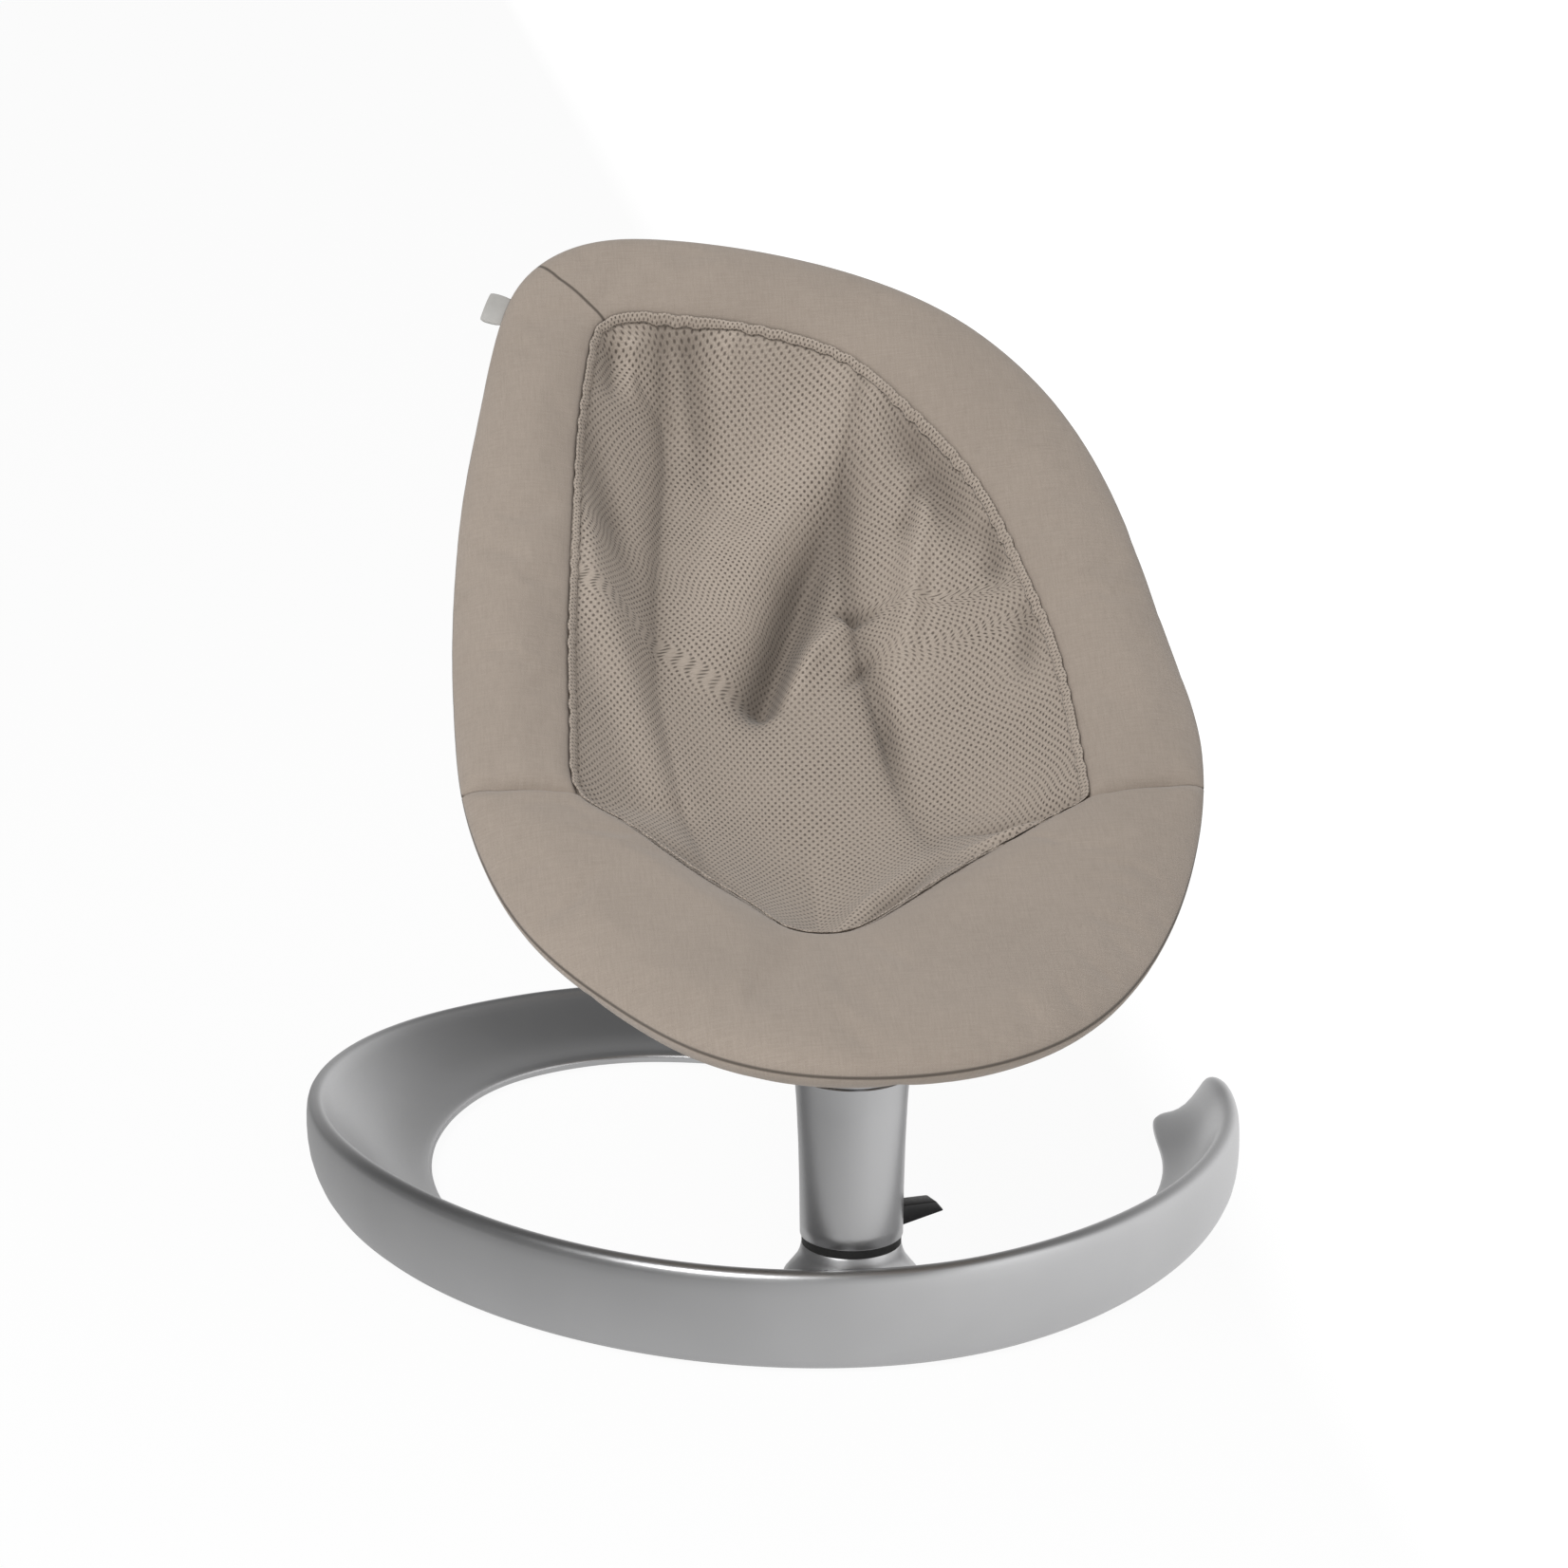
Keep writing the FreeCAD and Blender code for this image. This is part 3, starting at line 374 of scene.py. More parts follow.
def fillWithAir(piece, held, pressure, cap, slack):  # swells the cover between its seams
    rest = pointsOf(piece)
    group = piece.vertex_groups.new(name="heldBySeams")
    group.add([int(i) for i in held], 1.0, "REPLACE")
    cover = piece.modifiers.new("fill", "CLOTH")
    cover.settings.quality = swell["quality"]
    cover.settings.mass = swell["mass"]
    cover.settings.tension_stiffness = swell["stretch"]
    cover.settings.compression_stiffness = swell["stretch"]
    cover.settings.shear_stiffness = swell["shear"]
    cover.settings.bending_stiffness = swell["bending"]
    cover.settings.vertex_group_mass = "heldBySeams"
    cover.settings.use_pressure = True
    cover.settings.uniform_pressure_force = pressure
    cover.settings.shrink_min = -slack
    cover.settings.effector_weights.gravity = 0
    cover.collision_settings.use_collision = False
    cover.point_cache.frame_start = 1
    cover.point_cache.frame_end = swell["frames"]
    for step in range(1, swell["frames"] + 1):
        scene.frame_set(step)
    bpy.context.view_layer.objects.active = piece
    piece.select_set(True)
    bpy.ops.object.modifier_apply(modifier="fill")
    piece.select_set(False)
    scene.frame_set(1)
    moved = pointsOf(piece) - rest
    far = np.linalg.norm(moved, axis=1)
    moved *= np.minimum(1.0, cap / np.maximum(far, 1e-9))[:, None]
    piece.data.vertices.foreach_set("co", (rest + moved).ravel())
    piece.data.update()
    piece.vertex_groups.clear()


def faceOutward(piece):
    bpy.context.view_layer.objects.active = piece
    piece.select_set(True)
    bpy.ops.object.mode_set(mode="EDIT")
    bpy.ops.mesh.select_all(action="SELECT")
    bpy.ops.mesh.normals_make_consistent(inside=False)
    bpy.ops.object.mode_set(mode="OBJECT")
    piece.select_set(False)


def sweptPiece(name, points, material):  # sections by points round each section
    count, rows = points.shape[:2]
    faces, corners = [], []
    for i in range(count - 1):
        for j in range(rows):
            quad = [(i, j), (i, j + 1), (i + 1, j + 1), (i + 1, j)]
            faces.append(tuple(a * rows + b % rows for a, b in quad))
            corners += [(a / count, b / rows) for a, b in quad]
    for i in (0, count - 1):
        faces.append(tuple(i * rows + j for j in range(rows)))
        corners += [(i / count, j / rows) for j in range(rows)]
    piece = meshPiece(name, points.reshape(-1, 3), faces, corners, material)
    faceOutward(piece)
    useModifier(piece, "SUBSURF", "smooth", levels=1, render_levels=1)
    return piece


# ring base: one casting with the stub that carries the post

ringShape = {
    "plan": [(0.0689, 0.4994), (-0.0901, 0.5440), (-0.2296, 0.4869), (-0.2991, 0.3427), (-0.2875, 0.1960),
             (-0.2050, 0.0500),
             (-0.0798, -0.0365), (0.0499, -0.0448), (0.1655, 0.0268), (0.2340, 0.1252), (0.2680, 0.2265), (0.2725,
                                                                                                           0.3129)],
    "sections": 260, "heights": (0.0335, 0.0588, 0.0455), "widths": (0.084, 0.055, 0.047), "tuck": (0.008, 0.002),
    "low": 0.0015, "lip": 0.008, "endBack": 0.02, "endTip": 0.040, "endShrink": 0.50, "endWidth": 0.80,
}
stubLoops = [(0.0395, 0.0100), (0.0393, 0.0300), (0.0372, 0.0395), (0.0335, 0.0442), (0.0302, 0.0485), (0.0283, 0.0530),
             (0.0275, 0.0566), (0.0268, 0.0578), (0.0255, 0.0581), (0.0200, 0.0581)]


def blend(start, end, share):
    share = np.clip(share, 0, 1)
    return start + (end - start) * share * share * (3 - 2 * share)


def makeRing():
    plan = smoothThrough(ringShape["plan"], ringShape["sections"], False)
    share = np.linspace(0, 1, len(plan))
    ahead = np.gradient(plan, axis=0)
    ahead /= np.linalg.norm(ahead, axis=1)[:, None]
    inward = np.stack([-ahead[:, 1], ahead[:, 0]], 1)
    back, front, tip = ringShape["heights"]
    height = blend(blend(back, front, (share - 0.16) / 0.32), tip, (share - 0.72) / 0.28)
    back, front, tip = ringShape["widths"]
    width = blend(blend(back, front, (share - 0.25) / 0.33), tip, (share - 0.65) / 0.25)
    ending = np.minimum(1, np.minimum(share / ringShape["endBack"], (1 - share) / ringShape["endTip"]))
    curve = np.sqrt(1 - (1 - ending) ** 2)
    rounding = ringShape["endShrink"] + (1 - ringShape["endShrink"]) * curve
    height *= rounding
    width *= ringShape["endWidth"] + (1 - ringShape["endWidth"]) * curve
    tuck = blend(ringShape["tuck"][0], ringShape["tuck"][1], (share - 0.34) / 0.20) * rounding
    rim = np.minimum(1, width / 0.045)
    low = ringShape["low"]
    lip = np.minimum(ringShape["lip"], height * 0.5)
    section = [
        (0.010 * rim + tuck, low + 0 * share), (0.0030 * rim + tuck, low + 0.0004), (0.0010 + 0.6 * tuck,
                                                                                     0.12 * height),
        (0.15 * tuck, 0.36 * height), (0.0003 * rim, 0.66 * height), (0.0010 * rim, height - 0.0050), (0.0028 * rim,
                                                                                                       height - 0.0019),
        (0.0055 * rim, height - 0.0003), (0.0085 * rim, height), (0.0110 * rim, height - 0.0017), (0.0140 * rim,
                                                                                                   height - 0.0062),
        (0.50 * width, lip + 0.34 * (height - lip)), (0.72 * width,
                                                      lip + 0.14 * (height - lip)), (width - 0.0050 * rim,
                                                                                     lip + 0.0022),
        (width - 0.0010, lip + 0.0002), (width, lip - 0.0020), (width - 0.0022 * rim,
                                                                low + 0.0008), (width - 0.0060 * rim, low + 0 * share),
    ]
    points = np.stack([np.concatenate([plan + inward * across[:, None], (up + 0 * share)[:, None]], 1)
                       for across, up in ((np.asarray(a) + 0 * share, np.asarray(b)) for a, b in section)], 1)
    piece = sweptPiece("ringBody", points, aluminium)
    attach(piece, "base")
    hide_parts("base_ring")
    print("ring made")


def stackedPiece(name, loops, material, body, closed):  # rings of one radius and height after another
    radius, level = loops[0]
    bpy.ops.mesh.primitive_circle_add(vertices=96, radius=radius, location=(0, 0, level))
    piece = bpy.context.object
    piece.name = name
    bpy.ops.object.mode_set(mode="EDIT")
    bpy.ops.mesh.select_all(action="SELECT")
    for wider, higher in loops[1:]:
        bpy.ops.mesh.extrude_region_move(TRANSFORM_OT_translate={"value": (0, 0, higher - level)})
        bpy.ops.transform.resize(value=(wider / radius, wider / radius, 1))
        radius, level = wider, higher
    if closed:
        bpy.ops.mesh.fill()
    bpy.ops.mesh.select_all(action="SELECT")
    bpy.ops.mesh.normals_make_consistent(inside=False)
    bpy.ops.object.mode_set(mode="OBJECT")
    bpy.ops.object.transform_apply(location=True, rotation=True, scale=True)
    bpy.ops.object.shade_smooth_by_angle(angle=math.radians(40))
    piece.data.materials.append(material)
    piece.select_set(False)
    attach(piece, body)
    print(name, "made")


sleeveLoops = [(0.0268, 0.0640), (0.0268, 0.0633), (0.0277, 0.0630), (0.0282, 0.0636), (0.0283, 0.0700),
               (0.0285, 0.0900),
               (0.0291, 0.1150), (0.0301, 0.1380), (0.0312, 0.1540), (0.0314, 0.1552), (0.0308, 0.1558), (0.0290,
                                                                                                          0.1552),
               (0.0288, 0.1480)]

makeRing()
stackedPiece("ringStub", stubLoops, aluminium, "base", True)
stackedPiece("columnSleeve", sleeveLoops, aluminium, "swivel", False)


# hoop tubes inside the cover

hoopShape = {"inset": 0.0170, "depth": 0.0150, "radius": 0.0075, "round": 12, "split": (0.262, 0.266)}


def makeHoops():
    ahead = np.roll(leaf, -1, axis=0) - np.roll(leaf, 1, axis=0)
    ahead /= np.linalg.norm(ahead, axis=1)[:, None]
    inward = np.stack([-ahead[:, 1], ahead[:, 0]], 1)
    middle = leaf + inward * hoopShape["inset"]
    right = nearest(leaf, (0.215, hoopShape["split"][0]))
    left = nearest(leaf, (-0.204, hoopShape["split"][1]))
    turns = 2 * math.pi * np.arange(hoopShape["round"]) / hoopShape["round"]
    for name, first, last, node in (("upperHoop", right, left, "upper_hoop"), ("lowerHoop", left, right, "lower_hoop")):
        steps = (last - first) % outlineSteps
        at = (first + np.arange(0, steps - 2, 3)) % outlineSteps
        flat = middle[at][:, None] + inward[at][:, None] * (hoopShape["radius"] * np.cos(turns))[None, :, None]
        depth = hoopShape["depth"] + hoopShape["radius"] * np.sin(turns)[None] + 0 * flat[..., 0]
        piece = sweptPiece(name, onSeat(flat, depth), tubeAluminium)
        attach(piece, "seat")
        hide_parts(node)
    print("hoops made")


makeHoops()


# front strut, from the carrier up to the lower hoop

strutShape = {"start": (0.0, -0.0160, 0.1700), "bend": (0.0, -0.0620, 0.1760), "hoopAlong": 0.0340, "hoopDepth": 0.0170,
              "radius": 0.0055, "round": 16, "sections": 60}


def makeFrontStrut():
    end = onSeat((0.0, strutShape["hoopAlong"]), strutShape["hoopDepth"])
    line = smoothThrough([strutShape["start"], strutShape["bend"], tuple(end)], strutShape["sections"], False)
    ahead = np.gradient(line, axis=0)
    ahead /= np.linalg.norm(ahead, axis=1)[:, None]
    side = np.array([1.0, 0.0, 0.0])
    up = np.cross(side, ahead)
    turns = 2 * math.pi * np.arange(strutShape["round"]) / strutShape["round"]
    ring = np.cos(turns)[None, :, None] * side + np.sin(turns)[None, :, None] * up[:, None]
    piece = sweptPiece("frontStrut", line[:, None] + strutShape["radius"] * ring, aluminium)
    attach(piece, "seat")
    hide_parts("front_strut")
    print("front strut made")


makeFrontStrut()


# lock lever's paddle

paddleShape = {"root": 0.0270, "tip": 0.0545, "azimuth": 20, "width": 0.0120, "rootLow": 0.0635, "rootHigh": 0.0755,
               "tipLow": 0.0680, "tipHigh": 0.0742, "slant": 0.0050, "bevel": 0.0011}


def makePaddle():
    shape = paddleShape
    length = shape["tip"] - shape["root"]
    middle = (shape["rootLow"] + shape["rootHigh"]) / 2
    bpy.ops.mesh.primitive_cube_add(size=1, location=(shape["root"] + length / 2, 0, middle),
                                    scale=(length, shape["width"], shape["rootHigh"] - shape["rootLow"]))
    piece = bpy.context.object
    piece.name = "lockPaddle"
    bpy.ops.object.transform_apply(location=True, rotation=True, scale=True)
    for corner in piece.data.vertices:
        corner.select = False
    for above, lift, along in ((False, shape["tipLow"] - shape["rootLow"], 0.0),
                               (True, shape["tipHigh"] - shape["rootHigh"], -shape["slant"])):
        bpy.ops.object.mode_set(mode="EDIT")
        bpy.ops.mesh.select_all(action="DESELECT")
        bpy.ops.object.mode_set(mode="OBJECT")
        for corner in piece.data.vertices:
            corner.select = corner.co.x > shape["tip"] - 0.001 and (corner.co.z > middle) == above
        bpy.ops.object.mode_set(mode="EDIT")
        bpy.ops.mesh.select_mode(type="VERT")
        bpy.ops.transform.translate(value=(along, 0, lift))
        bpy.ops.object.mode_set(mode="OBJECT")
    useModifier(piece, "BEVEL", "soften", width=shape["bevel"], segments=3)
    piece.select_set(True)
    bpy.ops.object.shade_smooth_by_angle(angle=math.radians(40))
    piece.rotation_euler = (0, 0, math.radians(shape["azimuth"]))
    bpy.ops.object.transform_apply(location=True, rotation=True, scale=True)
    piece.data.materials.append(blackPlastic)
    piece.select_set(False)
    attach(piece, "lever")
    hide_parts("lock_lever")
    print("paddle made")


makePaddle()


# side tag: a folded loop of ribbon sewn into the left edge

tagShape = {"along": (0.614, 0.641), "out": 0.0125, "under": 0.0040, "thick": 0.0010, "depth": 0.0085, "steps": 12}


def makeTag():
    ends = [nearest(leaf, (-0.19, along)) for along in tagShape["along"]]
    at = np.linspace(ends[1], ends[0], tagShape["steps"]).astype(int)
    edge = leaf[at]
    ahead = edge[-1] - edge[0]
    ahead /= np.linalg.norm(ahead)
    outward = -np.array([-ahead[1], ahead[0]])
    outward *= np.sign(outward @ np.array([-1.0, 0.0]))
    loop = [(-1, 0.0), (0.2, 1.3), (0.6, 1.5), (0.9, 1.1), (1.0, 0.0), (0.9, -1.1), (0.6, -1.5), (0.2, -1.3)]
    flat = np.stack([edge + outward * (tagShape["out"] * across if across > 0 else -tagShape["under"]) for across,
                     side in loop], 1)
    depth = tagShape["depth"] + np.array([side for across, side in loop])[None] * tagShape["thick"] + 0 * flat[..., 0]
    piece = sweptPiece("sideTag", onSeat(flat, depth), labelCloth)
    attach(piece, "seat")
    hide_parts("side_tag")
    print("tag made")


makeTag()


# rim pad and foot panel

padShape = {
    "leafMarks": [(0.0, 0.0145), (0.2115, 0.255), (0.173, 0.525), (-0.060, 0.6715), (-0.147, 0.653), (-0.2052, 0.265)],
    "openMarks": [(-0.019, 0.141), (0.1425, 0.247), (0.104, 0.494), (-0.020, 0.604), (-0.108, 0.609),
                  (-0.1405, 0.2605)],
    "stationStep": 0.0042, "endSteps": [0.0012, 0.0028], "overlap": 0.0012,
    "pressure": 4.0, "cap": 0.005, "slack": 0.003,
    "folds": [
        ([(0.112, 0.505), (0.136, 0.522)], 0.0035, (0.0009, 0.0008, 0.0), 2),
        ([(0.119, 0.486), (0.146, 0.500)], 0.0035, (0.0010, 0.0008, 0.0), 2),
        ([(0.126, 0.462), (0.150, 0.476)], 0.0035, (0.0009, 0.0007, 0.0), 2),
        ([(0.132, 0.440), (0.160, 0.450)], 0.0038, (0.0011, 0.0008, 0.0), 2),
        ([(0.138, 0.415), (0.160, 0.424)], 0.0035, (0.0008, 0.0006, 0.0), 2),
        ([(0.143, 0.392), (0.170, 0.398)], 0.0040, (0.0009, 0.0007, 0.0), 2),
        ([(0.120, 0.196), (0.170, 0.190)], 0.0035, (0.0, 0.0010, 0.0), 2),
        ([(0.126, 0.184), (0.176, 0.176)], 0.0030, (0.0, 0.0011, 0.0), 2),
        ([(0.122, 0.168), (0.166, 0.160)], 0.0032, (0.0, 0.0009, 0.0), 2),
        ([(0.128, 0.150), (0.168, 0.146)], 0.0030, (0.0, 0.0010, 0.0), 2),
        ([(0.120, 0.134), (0.152, 0.130)], 0.0034, (0.0, 0.0008, 0.0), 2),
        ([(-0.150, 0.250), (-0.185, 0.238)], 0.0045, (0.0, 0.0010, 0.0), 2),
        ([(-0.110, 0.615), (-0.100, 0.640)], 0.0035, (0.0008, 0.0008, 0.0), 2),
        ([(-0.080, 0.622), (-0.070, 0.650)], 0.0040, (0.0008, 0.0006, 0.0), 2),
        ([(-0.122, 0.664), (-0.113, 0.642)], 0.0028, (0.0020, 0.0010, 0.0), 2),
    ],
    "middleFrom": 0.0125, "middleTo": 0.0190, "pinchDepth": 0.0040, "pinchReach": 0.0040,
    "outerSeam": 0.0110,  # depth of the edge seam
}
# inner edge, upper face, outer edge, underside: share of the width, distance from that end, depth
upperRows = [(0, 0.0, 0.0070), (0, 0.0012, 0.0042), (0, 0.0045, 0.0022), (0, 0.0095, 0.0010)]
middleCount = 15
upperRows += [(share, 0.0, 0.0012 - 0.0016 * math.sin(math.pi * share))
              for share in (np.arange(middleCount) + 0.5) / middleCount]
upperRows += [(1, -0.0150, 0.0006), (1, -0.0086, 0.0018), (1, -0.0042, 0.0042), (1, -0.0013, 0.0074),
              (1, 0.0, padShape["outerSeam"])]
lowerRows = [(1, -0.0010, 0.0150), (1, -0.0042, 0.0200), (1, -0.0100, 0.0245)]
lowerRows += [(share, 0.0, 0.0272) for share in (np.arange(9)[::-1] + 0.5) / 9]
lowerRows += [(0, 0.0100, 0.0262), (0, 0.0045, 0.0225), (0, 0.0012, 0.0160), (0, 0.0, 0.0110)]
padRows = upperRows + lowerRows
edgeRow = len(upperRows) - 1


def padStations(first, last):  # shares between neighbouring marks, first to last
    shares = []
    for i in range(first, last):
        i %= len(padShape["leafMarks"])
        j = (i + 1) % len(padShape["leafMarks"])
        ends = [nearest(leaf, padShape["leafMarks"][k]) for k in (i, j)]
        length = ((ends[1] - ends[0]) % outlineSteps) * np.linalg.norm(leaf[1] - leaf[0])
        count = max(4, int(round(length / padShape["stationStep"])))
        shares += [(i, j, k / count, length) for k in range(count)]
    shares.append((i, j, 1.0, length))
    tiny = padShape["endSteps"]
    firstRow, lastRow = shares[0], shares[-1]
    head = [(firstRow[0], firstRow[1], step / firstRow[3], firstRow[3]) for step in tiny]
    tail = [(lastRow[0], lastRow[1], 1 - step / lastRow[3], lastRow[3]) for step in reversed(tiny)]
    return [firstRow] + head + shares[2:-2] + tail + [lastRow]


def makePad(name, first, last, node, innerSeams):
    stations = padStations(first, last)
    inner = np.array([between(opening, nearest(opening, padShape["openMarks"][i]),
                              nearest(opening, padShape["openMarks"][j]), np.float64(s))
                      for i, j, s, length in stations])
    outer = np.array([between(leaf, nearest(leaf, padShape["leafMarks"][i]),
                              nearest(leaf, padShape["leafMarks"][j]), np.float64(s))
                      for i, j, s, length in stations])
    reach = outer - inner
    width = np.linalg.norm(reach, axis=1)
    reach /= width[:, None]
    run = np.concatenate([[0], np.cumsum(np.linalg.norm(np.diff(outer, axis=0), axis=1))])
    toEnd = np.minimum(run, run[-1] - run)
    # the cover turns in at its end seams
    pinch = padShape["pinchDepth"] * np.exp(-(toEnd / padShape["pinchReach"]) ** 2)
    for edge in (inner, outer):  # neighbouring covers are sewn together, so their ends overlap
        for end, beside in ((0, 3), (-1, -4)):
            away = edge[end] - edge[beside]
            edge[end] += away / np.linalg.norm(away) * padShape["overlap"]
    shareOf = np.array([row[0] for row in padRows])
    offset = np.array([row[1] for row in padRows])
    depthOf = np.array([row[2] for row in padRows])
    low, high = padShape["middleFrom"], padShape["middleTo"]
    inMiddle = (shareOf > 0) & (shareOf < 1)
    x = np.where(inMiddle[None, :], low + shareOf[None, :] * (width[:, None] - low - high),
                 shareOf[None, :] * width[:, None] + offset[None, :])
    depth = np.repeat(depthOf[None, :], len(stations), 0)
    middle = padShape["outerSeam"]
    depth += np.where(depth < middle, 1, -1) * pinch[:, None] * np.abs(depth - middle) / middle * 1.2
    x = np.clip(x, 0, None)
    flat = inner[:, None, :] + reach[:, None, :] * x[..., None]
    depth[:, :edgeRow - 2] += foldRelief(flat[:, :edgeRow - 2], padShape["folds"])
    points = onSeat(flat, depth)
    count, rows = depth.shape
    step = np.linalg.norm(np.diff(np.concatenate([points, points[:, :1]], 1), axis=1), axis=2)
    around = np.concatenate([np.zeros((count, 1)), np.cumsum(step, 1)], 1)
    flatUv = inner[:, None, :] + reach[:, None, :] * around[..., None]
    faces, corners = [], []
    for i in range(count - 1):
        for j in range(rows):
            n = (j + 1) % rows
            faces.append((i * rows + j, i * rows + n, (i + 1) * rows + n, (i + 1) * rows + j))
            corners += [flatUv[i, j], flatUv[i, j + 1], flatUv[i + 1, j + 1], flatUv[i + 1, j]]
    faces.append(tuple(j for j in reversed(range(rows))))
    corners += [flatUv[0, j] for j in reversed(range(rows))]
    faces.append(tuple((count - 1) * rows + j for j in range(rows)))
    corners += [flatUv[-1, j] for j in range(rows)]
    piece = meshPiece(name, points.reshape(-1, 3), faces, corners, padCloth)
    seamRun = np.abs(around[:, :-1] - around[:, edgeRow:edgeRow + 1])
    seamRun = np.minimum(seamRun, np.minimum(1.0, toEnd[:, None] + 0.0006))
    held = [i * rows + j for i in range(count) for j in (0, edgeRow, rows - 1)]
    held += [i * rows + j for i in (0, count - 1) for j in range(rows)]
    for mark in innerSeams:
        row = int(np.argmin([abs(s[0] - mark) + s[2] for s in stations]))
        held += [row * rows + j for j in range(edgeRow)]
        seamRun = np.minimum(seamRun, np.abs(run - run[row])[:, None])
    # seamRun: distance to the nearest seam, which the cloth uses for its painted groove shade
    attribute = piece.data.attributes.new("seamRun", "FLOAT", "POINT")
    attribute.data.foreach_set("value", seamRun.ravel().astype(np.float32))
    fillWithAir(piece, held, padShape["pressure"], padShape["cap"], padShape["slack"])
    useModifier(piece, "SUBSURF", "smooth", levels=1, render_levels=1)
    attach(piece, "seat")
    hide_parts(node)
    print(name, "made")
    return piece


rimPad = makePad("rimPad", 1, 5, "rim_pad", [4])
footPanel = makePad("footPanel", 5, 7, "foot_panel", [])


# hanging mesh

slingShape = {
    "corners": [(-0.1405, 0.2605), (0.1425, 0.247), (0.100, 0.502), (-0.106, 0.611)],
    "across": 130, "along": 170, "tuck": 0.004, "foldGain": 2.1, "shadeFrom": -0.0020, "shadeTo": 0.0115,
    "folds": [
        ([(-0.072, 0.606), (-0.073, 0.534), (-0.084, 0.440), (-0.089, 0.370), (-0.079, 0.290), (-0.070, 0.240)],
         0.0075, (0.004, 0.0035, 0.0015), 1.3),
        ([(-0.134, 0.520), (-0.112, 0.400), (-0.086, 0.300)], 0.016, (0.000, -0.0065, -0.003), 2),
        ([(-0.125, 0.560), (-0.104, 0.450), (-0.100, 0.400)], 0.012, (0.000, 0.0045, 0.000), 2),
        ([(0.037, 0.524), (0.004, 0.450), (-0.024, 0.376)], 0.0135, (0.002, 0.0100, 0.0110), 1.7),
        ([(0.040, 0.560), (-0.020, 0.480), (-0.050, 0.400)], 0.022, (-0.002, -0.0060, -0.002), 2),
        ([(0.034, 0.430), (0.010, 0.412), (-0.018, 0.366)], 0.0085, (-0.001, -0.0055, -0.0035), 1.7),
        ([(0.046, 0.568), (0.036, 0.524), (0.032, 0.470), (0.035, 0.430), (0.040, 0.380), (0.047, 0.329),
          (0.060, 0.255)], 0.0060, (0.003, 0.0040, 0.0015), 1.2),
        ([(0.034, 0.434), (0.020, 0.440)], 0.0040, (0.004, 0.003, 0.0), 1.4),
        ([(0.036, 0.432), (0.052, 0.430)], 0.0038, (0.003, 0.003, 0.0), 1.4),
        ([(0.040, 0.400), (0.022, 0.380)], 0.0040, (0.0025, 0.002, 0.0), 1.4),
        ([(0.064, 0.545), (0.083, 0.505), (0.101, 0.462)], 0.0110, (0.002, 0.0065, 0.002), 1.8),
        ([(0.076, 0.500), (0.062, 0.460)], 0.0065, (0.003, 0.0055, 0.001), 1.6),
        ([(0.078, 0.505), (0.066, 0.430), (0.052, 0.360)], 0.0110, (-0.003, -0.0060, -0.001), 2),
        ([(0.043, 0.390), (0.047, 0.355), (0.050, 0.315)], 0.0050, (0.001, 0.0040, 0.001), 1.3),
        ([(0.114, 0.455), (0.116, 0.415)], 0.0070, (0.003, 0.0040, 0.0), 1.6),
        ([(0.128, 0.395), (0.124, 0.350)], 0.0070, (0.0025, 0.0030, 0.0), 1.6),
        ([(0.139, 0.247), (0.100, 0.256), (0.058, 0.268)], 0.0060, (0.003, 0.0042, 0.0), 1.4),
        ([(0.139, 0.244), (0.100, 0.232), (0.060, 0.232)], 0.0060, (0.002, -0.0035, 0.0), 1.6),
        ([(0.136, 0.240), (0.090, 0.220), (0.056, 0.214)], 0.0052, (0.002, 0.0038, 0.0), 1.4),
        ([(0.060, 0.232), (0.028, 0.190), (-0.006, 0.152)], 0.0058, (0.001, 0.0048, 0.001), 1.4),
        ([(0.048, 0.236), (0.014, 0.198), (-0.016, 0.158)], 0.0075, (-0.001, -0.0035, 0.0), 1.8),
        ([(-0.130, 0.262), (-0.080, 0.235), (-0.030, 0.175)], 0.0090, (0.001, 0.0030, 0.0), 1.8),
        ([(-0.056, 0.600), (-0.050, 0.560), (-0.046, 0.520)], 0.0080, (0.004, 0.0035, 0.0), 1.6),
        ([(-0.030, 0.600), (-0.034, 0.570)], 0.0070, (-0.003, -0.0015, 0.0), 1.8),
        ([(-0.104, 0.594), (-0.106, 0.560)], 0.0060, (0.003, 0.0025, 0.0), 1.5),
        ([(-0.090, 0.598), (-0.092, 0.565)], 0.0060, (-0.003, -0.002, 0.0), 1.5),
    ],
}


def insideDistance(flat):
    spots = flat.reshape(-1, 2)
    coarse = opening[::4]
    ahead = np.roll(coarse, -1, axis=0) - np.roll(coarse, 1, axis=0)
    inward = np.stack([-ahead[:, 1], ahead[:, 0]], 1)
    result = np.empty(len(spots))
    for start in range(0, len(spots), 4000):
        part = spots[start:start + 4000]
        gaps = part[:, None, :] - coarse[None]
        distance = np.linalg.norm(gaps, axis=2)
        best = distance.argmin(1)
        rows = np.arange(len(part))
        sign = np.sign((gaps[rows, best] * inward[best]).sum(1))
        result[start:start + 4000] = distance[rows, best] * sign
    return result.reshape(flat.shape[:-1])


def slingDepth(flat):
    inside = insideDistance(flat)
    share = np.clip(inside / seatShape["slingReach"], -0.05, 1)
    held = np.clip(inside / 0.012, 0, 1)
    return (seatShape["slingEdge"] + seatShape["slingDepth"] * (1 - (1 - share) ** 2)
            + slingShape["foldGain"] * foldRelief(flat, slingShape["folds"]) * (0.25 + 0.75 * held))


def slingOutward(flat):
    middle = np.array([0.0, 0.37])
    away = flat - middle
    return away / np.maximum(np.linalg.norm(away, axis=-1), 1e-6)[..., None]


